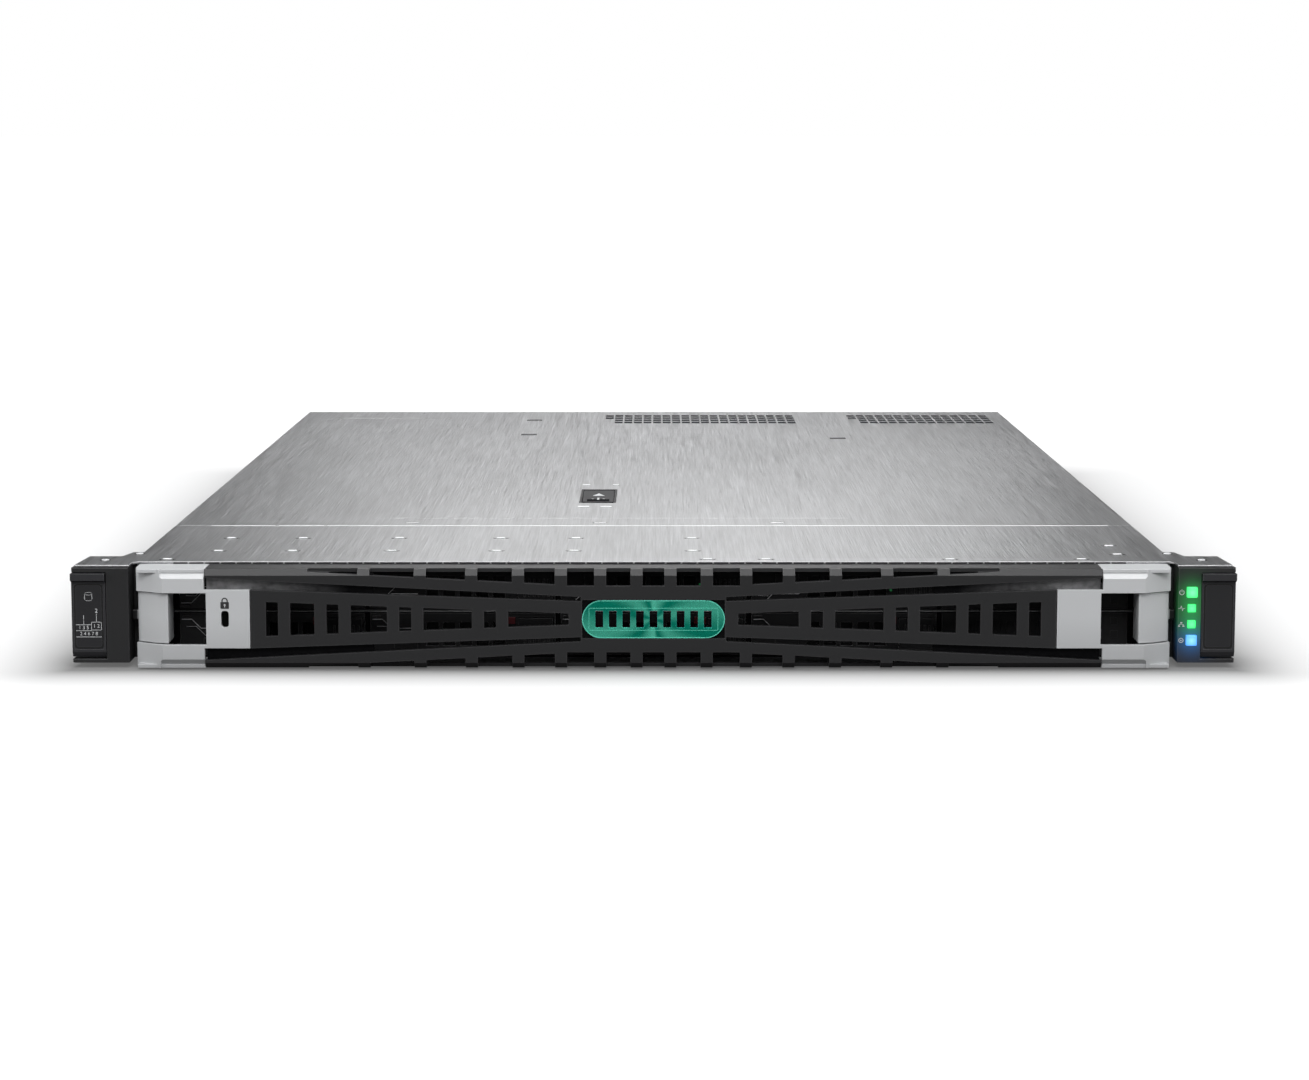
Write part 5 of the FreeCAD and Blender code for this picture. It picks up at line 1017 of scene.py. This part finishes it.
class SERVER_OT_drives(Step, bpy.types.Operator):
    """Drive carriers with their lever tips, release buttons and lamps"""

    bl_idname = "server.drives"
    bl_label = "Drives"

    def build(self):
        drives = [f"drive_{place + 1}" for place in range(8)]
        dressed(0.2, 1, *drives)
        bays = [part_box(drive) for drive in drives]
        levers, lines, buttons, lamps = meshes(4)
        for place, (low, high) in enumerate(bays):
            way = -1 if place % 2 else 1
            spot = Vector((low.x, low.y, high.z if place % 2 else low.z))

            def rib(mesh, x0, z0, x1, z1, round_by):
                z0, z1 = sorted((way * z0, way * z1))
                slab(mesh, spot, (x0, -0.25, z0), (x1, 0.1, z1), round_by)

            corners = [(1.2, 2.6), (5.2, 2.6), (9.0, 6.4), (20.0, 6.4)]
            # painted highlight: bright strokes along each lever's edges
            for shift, wide in ((0.0, 0.34), (3.0, 0.22)):
                path = [(x + 0.6 * shift, way * (z + shift)) for x, z in corners]
                strokes(lines, spot, path, wide, 0.3)
            rib(levers, 1.0, 0.8, 4.6, 1.7, 0.15)
            rib(levers, 10.0, 10.4, 20.0, 15.0, 0.2)
            rib(buttons, 56.0, 1.6, 61.0, 4.6, 0.3)
            for row in range(6):
                rib(levers, 64.5 + 2 * row, 5.0, 65.5 + 2 * row, 12.8, 0.1)
            for z in (8.0, 10.4):
                disc(lamps, spot, (58.5, 0, way * z), 0.55, 0.4, "y", 12)
        piece("carrier_ribs", "drive_metal", levers)
        piece("carrier_highlight_lines", "drive_metal", lines, "carrier_edge")
        piece("carrier_buttons", "release_tab", buttons, "carrier_button")
        piece("carrier_lamps", "status_light", lamps, "lamp")
        self.cage_front(bays[1][1].z, bays[6][0].z)
        self.blank_marks()

    def cage_front(self, foot, top):
        """A dark strip over the cage's front edges, painted shade, with a thin bright line along
        it, painted highlight.
        """
        low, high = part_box("drive_cage")
        shade_strip, highlight_lip = meshes(2)
        wide, tall = (high.x - low.x) / MM, (top - foot) / MM
        spot = Vector((low.x, low.y, foot))
        slab(shade_strip, spot, (0, -1.3, 0.15), (wide, -0.05, tall - 0.15), 0.15)
        slab(highlight_lip, spot, (1, -1.4, 0.7), (wide - 1, -1.25, 0.98))
        piece("cage_shade_strip", "connector_black", shade_strip)
        piece("cage_highlight_lip", "plated_steel", highlight_lip, "carrier_edge")

    def blank_marks(self):
        """Raised frames, a slot and a row of vent squares on the two blanks."""
        frames, vents = meshes(2)
        for low, high in solids("drive_blanks"):
            side = Vector((high.x, low.y - 0.1 * MM, (low.z + high.z) / 2))
            corners = [(-13.5, -2.0), (-11.1, -2.0), (-11.1, 2.0), (-13.5, 2.0)]
            strokes(frames, side, corners, 0.3, 0.3, True)
            bar(frames, side, (-12.3, -0.8), (-12.3, 0.8), 0.5, 0.3)
            for z in (-5.4, 0, 5.4):
                slab(vents, side, (-7.2, -0.1, z - 1.6), (-4.0, 0.2, z + 1.6), 0.1)
            foot = Vector((low.x, side.y, low.z))
            for row in range(8):
                x, tall = 8 + 6.4 * row, (high.z - low.z) / MM
                slab(vents, foot, (x, -0.05, 3), (x + 3.6, 0.15, tall - 3), 0.1)
        piece("blank_frames", "blank_plastic", frames, "carrier_edge")
        piece("blank_vents", "connector_black", vents)


# ---- inside ----

# square millimetres for each small board part, and the parts' kinds as limits of a draw
FIELD, CHIPS, CANS = 420, 0.16, 0.28
# clear fields of the board: left, front, right and back edges
BOARD_ROOM = [
    (-200, 238, 200, 296), (-200, 462, 200, 516), (130, 300, 205, 452), (-205, 300, -130, 452),
    (-52, 530, 205, 680),
]
# board sockets: place across and behind the face, width, depth and height
BOARD_SOCKETS = [
    (-150, 505, 46, 6, 8), (-90, 505, 46, 6, 8), (60, 505, 60, 6, 8), (140, 505, 46, 6, 8),
    (165, 248, 22, 8, 9), (-165, 248, 22, 8, 9), (30, 470, 36, 5, 7), (-30, 470, 30, 5, 7),
]


class SERVER_OT_fans(Step, bpy.types.Operator):
    """Fan housings, rotors with hub caps, pull tabs and leads"""

    bl_idname = "server.fans"
    bl_label = "Fans"

    def build(self):
        dressed(0.2, 1, "fan_housings")
        screws, tabs, plugs, leads, marks = meshes(5)
        ducts = solids("fan_housings")
        for place in range(6):
            node = f"fan_rotor_{place + 1}"
            dressed(0.15, 1, node)
            hub = node_middle(node)
            cap = bmesh.new()
            disc(cap, hub, (0, -0.12, 0), 8.6, 0.3, "y", 40, 7.6)
            disc(cap, hub, (0, -0.3, 0), 1.6, 0.3, "y", 20)
            piece(f"hub_cap_{place + 1}", "fan_black", cap, "hub", node)
            low, high = min(ducts, key=lambda box: abs((box[0].x + box[1].x) / 2 - hub.x))
            spot = Vector((hub.x, low.y, hub.z))
            for side in SIDES:
                for level in SIDES:
                    disc(screws, spot, (side * 17.0, 0, level * 17.0), 1.3, 0.5, "y", 16, 1.0)
            top = Vector((hub.x, high.y, high.z))
            slab(tabs, top, (-9, -16, 0), (9, -5, 0.7), 0.3)
            digits(marks, str(place + 1), 4.0, top + Vector((0, -10.5, 0.72)) * MM, 0)
            foot = Vector((hub.x, high.y, 0))
            slab(plugs, foot, (-6, 0.3, 10), (6, 6, 17), 0.4)
            for lead in range(4):
                disc(leads, foot, ((lead - 1.5) * 2.2, 9.2, 12.5), 0.6, 7.0, "y", 8)
        piece("fan_screws", "screw_steel", screws)
        piece("fan_pull_tabs", "release_tab", tabs)
        piece("fan_numbers", "fan_black", marks, "print", flat=True)
        piece("fan_plugs", "connector_black", plugs)
        piece("fan_leads", "release_tab", leads)


class SERVER_OT_board(Step, bpy.types.Operator):
    """Chips, chokes, capacitors, sockets and print of the system board"""

    bl_idname = "server.board"
    bl_label = "Board"

    def build(self):
        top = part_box("system_board")[1].z
        draw = random.Random(11)
        chips, chokes, cans, parts, lines, sockets, battery = meshes(7)
        for left, near, right, far in BOARD_ROOM:
            for _ in range(int((right - left) * (far - near) / FIELD)):
                spot = on(top, draw.uniform(left, right), draw.uniform(near, far))
                kind = draw.random()
                if kind < CHIPS:
                    side = draw.choice((4.0, 6.0, 9.0)) / 2
                    slab(chips, spot, (-side, -side, 0), (side, side, 1), 0.15)
                    rim, line = side + 0.8, 0.1
                    for x in (-rim, rim):
                        slab(lines, spot, (x - line, -rim - line, 0), (x + line, rim + line, 0.04))
                        slab(lines, spot, (-rim - line, x - line, 0), (rim + line, x + line, 0.04))
                elif kind < CANS:
                    disc(cans, spot, (0, 0, 1.5), 1.5, 3.0, sides=16)
                else:
                    x, y = draw.choice(((0.9, 0.45), (0.45, 0.9), (1.3, 0.7)))
                    slab(parts, spot, (-x, -y, 0), (x, y, 0.5))
        for side in SIDES:
            for place in range(8):
                spot = on(top, side * 64.5, 340 + 11.5 * place)
                slab(chokes, spot, (-3, -3.6, 0), (3, 3.6, 5), 0.5)
        for x, depth, wide, deep, tall in BOARD_SOCKETS:
            corners = (-wide / 2, -deep / 2, 0), (wide / 2, deep / 2, tall)
            slab(sockets, on(top, x, depth), *corners, 0.4)
        disc(battery, on(top, -20, 560), (0, 0, 2.4), 10, 3.2, sides=48, top=9.6)
        piece("board_chips", "connector_black", chips)
        piece("board_chokes", "connector_black", chokes, "hub")
        piece("board_capacitors", "port_metal", cans)
        piece("board_parts", "connector_black", parts, "ceramic")
        piece("board_print", "circuit_board", lines, "print", flat=True)
        piece("board_sockets", "connector_black", sockets)
        piece("board_battery", "port_metal", battery)


class SERVER_OT_processor(Step, bpy.types.Operator):
    """Load frame and nuts round the heat sink's foot"""

    bl_idname = "server.processor"
    bl_label = "Processor"

    def build(self):
        low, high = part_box("processor_socket")
        ring, nuts = meshes(2)
        far_x, far_y, _ = (high - low) / MM
        rim, gap = 5, 0.2
        for x0, y0, x1, y1 in (
            (-rim, -rim, far_x + rim, -gap),
            (-rim, far_y + gap, far_x + rim, far_y + rim),
            (-rim, -gap, -gap, far_y + gap),
            (far_x + gap, -gap, far_x + rim, far_y + gap),
        ):
            slab(ring, low, (x0, y0, 0.1), (x1, y1, 2.6), 0.4)
        for x in (-rim / 2, far_x + rim / 2):
            for y in (-rim / 2, far_y + rim / 2):
                disc(nuts, low, (x, y, 4.4), 2.1, 4.0, sides=6)
                disc(nuts, low, (x, y, 6.0), 1.2, 3.4, sides=20)
        piece("processor_frame", "screw_steel", ring)
        piece("processor_nuts", "screw_steel", nuts)


class SERVER_OT_memory(Step, bpy.types.Operator):
    """Memory chips, contacts and end latches"""

    bl_idname = "server.memory"
    bl_label = "Memory"

    def build(self):
        chips, latches, contacts = meshes(3)
        for low, high in solids("memory_modules"):
            wide, long, tall = (high - low) / MM
            for x in (0, wide):
                for place in range(10):
                    y = (place + 0.5) * long / 10
                    slab(chips, low, (x - 0.35, y - 4.4, 6), (x + 0.35, y + 4.4, tall - 4), 0.15)
            slab(contacts, low, (-0.06, 3, 0.1), (wide + 0.06, long - 3, 1.6))
        for low, high in solids("memory_sockets"):
            for y in (low.y + 1.6 * MM, high.y - 1.6 * MM):
                spot = Vector(((low.x + high.x) / 2, y, high.z))
                slab(latches, spot, (-1.8, -1.5, 0), (1.8, 1.5, 8), 0.5)
        piece("memory_chips", "connector_black", chips)
        piece("memory_contacts", "circuit_board", contacts, "gold")
        piece("memory_latches", "connector_black", latches, "latch_white")


# ---- rear ----


def holes(mesh, spot, low, high, step, radius):
    """Six-sided dark holes in staggered rows on a rear face."""
    rise = step * 0.87
    for row in range(int((high[1] - low[1]) / rise)):
        shift = 0.5 * (row % 2)
        for place in range(int((high[0] - low[0]) / step - shift)):
            off = (low[0] + (place + 0.5 + shift) * step, 0.05, low[1] + (row + 0.5) * rise)
            disc(mesh, spot, off, radius, 0.12, "y", 6)


class SERVER_OT_supplies(Step, bpy.types.Operator):
    """Power supplies with vents, lamps, rivets and ribbed tabs"""

    bl_idname = "server.supplies"
    bl_label = "Power Supplies"

    def build(self):
        for node in ("power_supply_1", "power_supply_2"):
            tab = f"{node}_latch"
            dressed(0.3, 2, node)
            dressed(0.5, 2, tab)
            low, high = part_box(node)
            wide, _, tall = (high - low) / MM
            spot = Vector((low.x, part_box("rear_wall")[1].y, low.z))
            vents, lamps, ribs, rivets = meshes(4)
            for foot, top in ((2.2, 7.5), (30.5, tall - 2.2)):
                holes(vents, spot, (2.2, foot), (41, top), 3.0, 1.15)
            for z in (14, 19):
                disc(lamps, spot, (38.6, 0.1, z), 1.1, 0.5, "y", 20)
            low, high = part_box(tab)
            end = Vector((low.x, high.y, low.z))
            for row in range(6):
                z, across = 2.2 + 1.9 * row, (high.x - low.x) / MM
                slab(ribs, end, (1, -0.3, z), (across - 1, 0.25, z + 0.8), 0.2)
            for x, z in ((1, 1), (wide - 1, tall - 1)):
                disc(rivets, spot, (x, 0.05, z), 0.6, 0.2, "y", 12)
            piece(f"{node}_vents", "connector_black", vents, body=node)
            piece(f"{node}_lamps", "status_light", lamps, "lamp", node)
            piece(f"{node}_tab_ribs", "release_tab", ribs, body=tab)
            piece(f"{node}_rivets", "screw_steel", rivets, body=node)


class SERVER_OT_rear(Step, bpy.types.Operator):
    """Ports, screws and vent fields of the rear wall"""

    bl_idname = "server.rear"
    bl_label = "Rear"

    def build(self):
        dressed(0.15, 1, "video_port", "network_port", "usb_ports", "network_card")
        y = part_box("rear_wall")[1].y
        vents = bmesh.new()
        for low, high in solids("slot_blanks"):
            wide, tall = (high.x - low.x) / MM, (high.z - low.z) / MM
            spot = Vector((low.x, high.y, low.z))
            holes(vents, spot, (6, 2.4), (wide - 6, tall - 2.4), 4.0, 1.5)
        for x in (40, 170):
            holes(vents, Vector((0, y, 0)), (x, 8.4), (x + 40, 19.0), 3.4, 1.3)
        piece("rear_vents", "connector_black", vents)
        self.video(y)
        self.sockets(y)
        self.card()
        self.screws(y)

    def video(self, y):
        low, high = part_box("video_port")
        pins, posts, body = meshes(3)
        wide, _, tall = (high - low) / MM
        corners = (1.7, -2.4, 1.7), (wide - 1.7, -0.9, tall - 1.7)
        slab(body, Vector((low.x, y, low.z)), *corners, 0.4)
        middle = Vector(((low.x + high.x) / 2, y, (low.z + high.z) / 2))
        for row in range(3):
            for place in range(5):
                x = (place - 2 + 0.25 * (row % 2)) * 2.2
                disc(pins, middle, (x, -0.9, (row - 1) * 1.5), 0.32, 0.2, "y", 10)
        for x in (-11.6, 11.6):
            disc(posts, middle, (x, 1.4, 0), 2.3, 2.8, "y", 6)
            disc(posts, middle, (x, 2.9, 0), 1.2, 0.3, "y", 20)
        piece("video_insert", "connector_black", body, "video_blue")
        piece("video_pins", "connector_black", pins)
        piece("video_posts", "screw_steel", posts)

    def sockets(self, y):
        low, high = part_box("network_port")
        contacts, lamps, tongues_and_shade_sheets = meshes(3)
        spot = Vector((low.x, y, high.z))
        for place in range(8):
            x = 3.2 + place * 1.02
            slab(contacts, spot, (x, -12, -2.0), (x + 0.4, -2, -1.5))
        for x in (low.x + 2.0 * MM, high.x - 2.0 * MM):
            slab(lamps, Vector((x, y, low.z)), (-1, 0.3, 0.2), (1, 0.55, 0.9))
        for low, high in solids("usb_ports"):
            wide = (high.x - low.x) / MM
            spot = Vector((low.x, y, low.z))
            slab(tongues_and_shade_sheets, spot, (1.4, -8.5, 2.6), (wide - 1.4, -0.8, 4.4), 0.2)
        piece("network_contacts", "port_metal", contacts, "gold")
        piece("network_lamps", "status_light", lamps, "lamp")
        piece("usb_tongues", "connector_black", tongues_and_shade_sheets, "tongue_blue")

    def card(self):
        """Four cage mouths with lamps on the network card's plate."""
        low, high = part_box("network_card")
        tall = (high.z - low.z) / MM
        mouths, rims, lamps = meshes(3)
        for place in range(4):
            spot = Vector((low.x + (6 + 17.2 * place) * MM, high.y, low.z))
            slab(rims, spot, (-0.6, -0.1, 1.4), (13.6, 0.5, tall - 0.6), 0.2)
            slab(mouths, spot, (0, 0.3, 2.0), (13.0, 0.56, tall - 1.2), 0.1)
            for x in (3, 10):
                disc(lamps, spot, (x, 0.1, 0.75), 0.4, 0.3, "y", 10)
        piece("card_cages", "port_metal", rims)
        piece("card_mouths", "connector_black", mouths)
        piece("card_lamps", "status_light", lamps, "lamp")

    def screws(self, y):
        heads, marks = meshes(2)
        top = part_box("rear_wall")[1].z
        for x, drop in ((-60, 16.2), (46, 2.2), (76, 16.2), (205, 2.2)):
            spot = Vector((x * MM, y, top - drop * MM))
            disc(heads, spot, (0, 0.7, 0), 2.0, 1.4, "y", 28, 1.7)
            cross(marks, spot + Vector((0, 1.4 * MM, 0)), (0, 60, 120), 0.8, 0.35, 0.1)
        piece("rear_screws", "screw_steel", heads)
        piece("rear_screw_sockets", "connector_black", marks)


# ---- base ----


class SERVER_OT_base(Step, bpy.types.Operator):
    """Base pan, rail studs, rack screws, and the rivets and slots of the sides"""

    bl_idname = "server.base"
    bl_label = "Base"

    def build(self):
        dressed(0.25, 2, "chassis_base")
        dressed(0.3, 2, "rail_studs", "rack_screws")
        recess, rivets, slots = meshes(3)
        for low, high in solids("rack_screws"):
            spot = Vector(((low.x + high.x) / 2, low.y, (low.z + high.z) / 2))
            cross(recess, spot, (0, 90), 2.2, 0.9, 0.2)
        piece("rack_screw_slots", "connector_black", recess)
        for side in SIDES:
            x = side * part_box("chassis_base")[1].x / MM
            for depth in range(50, 700, 42):
                disc(rivets, on(0, x, depth), (0, 0, 35), 1.7, 0.7, "x", 20, 1.2)
            for depth in (150, 240, 420, 510, 650):
                slab(slots, on(0, x, depth), (-0.04, -9, 9), (0.04, 9, 12.5))
        piece("side_rivets", "plated_steel", rivets)
        piece("side_slots", "connector_black", slots)


# ---- stage ----

CAMERA_PLACE, CAMERA_TILT = (0.00043, -1.6747, 0.2253), math.radians(7.46)
BLACK, WHITE = (0.0, 0.0, 0.0), (1.0, 1.0, 1.0)
FLOOR_FILL, FLOOR_BOUNCE = (0.30, 0.30, 0.30), (0.12, 0.12, 0.12)
HORIZON, ZENITH = (0.08, 0.081, 0.083), (0.46, 0.465, 0.475)
# soft lights: place, target, width, height and watts
LIGHTS = {
    "key_above": ((-0.1, -0.45, 1.7), (0, -0.25, 0), 1.5, 1.0, 22),
    "front_soft": ((0.0, -2.6, 1.9), (0, -0.35, 0), 2.6, 1.2, 50),
    "back_soft": ((0.0, 1.45, 0.72), (0, -0.35, 0.05), 0.7, 0.3, 2.9),
    "side_soft_-1": ((-2.0, -1.3, 0.55), (-0.2, -0.35, 0), 0.9, 0.7, 9),
    "side_soft_1": ((2.0, -1.3, 0.55), (0.2, -0.35, 0), 0.9, 0.7, 9),
}


class SERVER_OT_stage(Step, bpy.types.Operator):
    """Pale floor, soft light and the camera"""

    bl_idname = "server.stage"
    bl_label = "Stage"

    def build(self):
        scene = bpy.context.scene
        mesh = bmesh.new()
        bmesh.ops.create_grid(mesh, x_segments=1, y_segments=1, size=30.0)
        bmesh.ops.translate(mesh, verts=mesh.verts, vec=(0, 12.0, -0.2 * MM))
        data = bpy.data.meshes.new("floor")
        mesh.to_mesh(data)
        mesh.free()
        floor = bpy.data.objects.new("floor", data)
        scene.collection.objects.link(floor)
        data.materials.append(self.floor_finish())

        for name, (where, target, wide, tall, watts) in LIGHTS.items():
            lamp = bpy.data.lights.new(name, "AREA")
            lamp.shape = "RECTANGLE"
            lamp.size = wide
            lamp.size_y = tall
            lamp.energy = watts
            made = bpy.data.objects.new(name, lamp)
            made.location = where
            towards = Vector(target) - Vector(where)
            made.rotation_euler = towards.to_track_quat("-Z", "Y").to_euler()
            scene.collection.objects.link(made)
        self.world(scene)

        lens = bpy.data.cameras.new("camera")
        lens.lens = sizes().camera_lens
        lens.sensor_width = 36.0
        lens.sensor_fit = "HORIZONTAL"
        lens.clip_start = 0.01
        lens.clip_end = 100.0
        camera = bpy.data.objects.new("camera", lens)
        camera.location = CAMERA_PLACE
        camera.rotation_euler = (math.radians(90) - CAMERA_TILT, 0.0, 0.0)
        scene.collection.objects.link(camera)
        scene.camera = camera
        scene.view_settings.view_transform = "Standard"

    def floor_finish(self):
        """White to the eye, with a contact shade; paler where it throws light back."""
        made, tree, gloss = blank_material("finish_floor")
        gloss.inputs["Roughness"].default_value = 0.9
        gloss.inputs["Specular IOR Level"].default_value = 0.1
        seen = tree.nodes.new("ShaderNodeLightPath").outputs["Is Camera Ray"]
        low, high = CAD_BOX
        foot = (high[0], -low[1], 1.0)
        shadow = placed(tree, contact_shade, Half=foot, Reach=30 * MM)["Mask"]
        near = placed(tree, light_halo, Centre=BLACK, Reach=1.6)["Mask"]
        fill = blend_colours(tree, shadow, FLOOR_FILL, BLACK)
        white = blend_colours(tree, near, WHITE, fill)
        tree.links.new(blend_colours(tree, seen, BLACK, white), gloss.inputs["Emission Color"])
        gloss.inputs["Emission Strength"].default_value = 1.0
        pale = colours().floor
        lit = blend_colours(tree, shadow, pale, scaled(pale, 0.2))
        tint = blend_colours(tree, seen, FLOOR_BOUNCE, lit)
        tree.links.new(tint, gloss.inputs["Base Color"])
        return made

    def world(self, scene):
        """White to the eye; its light is softer at the horizon than overhead."""
        world = bpy.data.worlds.new("soft_room")
        world.use_nodes = True
        scene.world = world
        tree = world.node_tree
        ground = next(node for node in tree.nodes if node.type == "BACKGROUND")
        out = next(node for node in tree.nodes if node.type == "OUTPUT_WORLD")
        way = feed(tree, "TexCoord", {}, "Generated")
        split = feed(tree, "SeparateXYZ", {"Vector": way}).node.outputs
        up = maths(tree, "ABSOLUTE", split["Z"])
        tone = blend_colours(tree, up, HORIZON, ZENITH)
        behind = maths(tree, "MULTIPLY", maths(tree, "MAXIMUM", split["Y"], 0.0), 0.92)
        tree.links.new(blend_colours(tree, behind, tone, BLACK), ground.inputs["Color"])
        ground.inputs["Strength"].default_value = 1.0
        white = feed(tree, "Background", {"Color": (*WHITE, 1.0)})
        seen = feed(tree, "LightPath", {}, "Is Camera Ray")
        mix = feed(tree, "MixShader", {"Fac": seen, 1: ground.outputs["Background"], 2: white})
        tree.links.new(mix, out.inputs["Surface"])


# ---- panel and registration ----

OPERATORS = Step.__subclasses__()


class SERVER_PT_panel(bpy.types.Panel):
    """Lists the server's pieces"""

    bl_idname = "SERVER_PT_panel"
    bl_label = "Rack Server"
    bl_space_type = "VIEW_3D"
    bl_region_type = "UI"
    bl_category = "Rack Server"

    def draw(self, context):
        for operator in OPERATORS:
            self.layout.operator(operator.bl_idname)
        for settings in (context.scene.server_sizes, context.scene.server_colours):
            for name in settings.__annotations__:
                self.layout.prop(settings, name)


CLASSES = [ServerSizes, ServerColours, *OPERATORS, SERVER_PT_panel]


def register():
    for made in CLASSES:
        bpy.utils.register_class(made)
    bpy.types.Scene.server_sizes = bpy.props.PointerProperty(type=ServerSizes)
    bpy.types.Scene.server_colours = bpy.props.PointerProperty(type=ServerColours)


def unregister():
    del bpy.types.Scene.server_colours
    del bpy.types.Scene.server_sizes
    for made in reversed(CLASSES):
        bpy.utils.unregister_class(made)


def main():
    register()
    for operator in OPERATORS:
        group_name, call = operator.bl_idname.split(".")
        getattr(getattr(bpy.ops, group_name), call)()


if __name__ == "__main__":
    main()
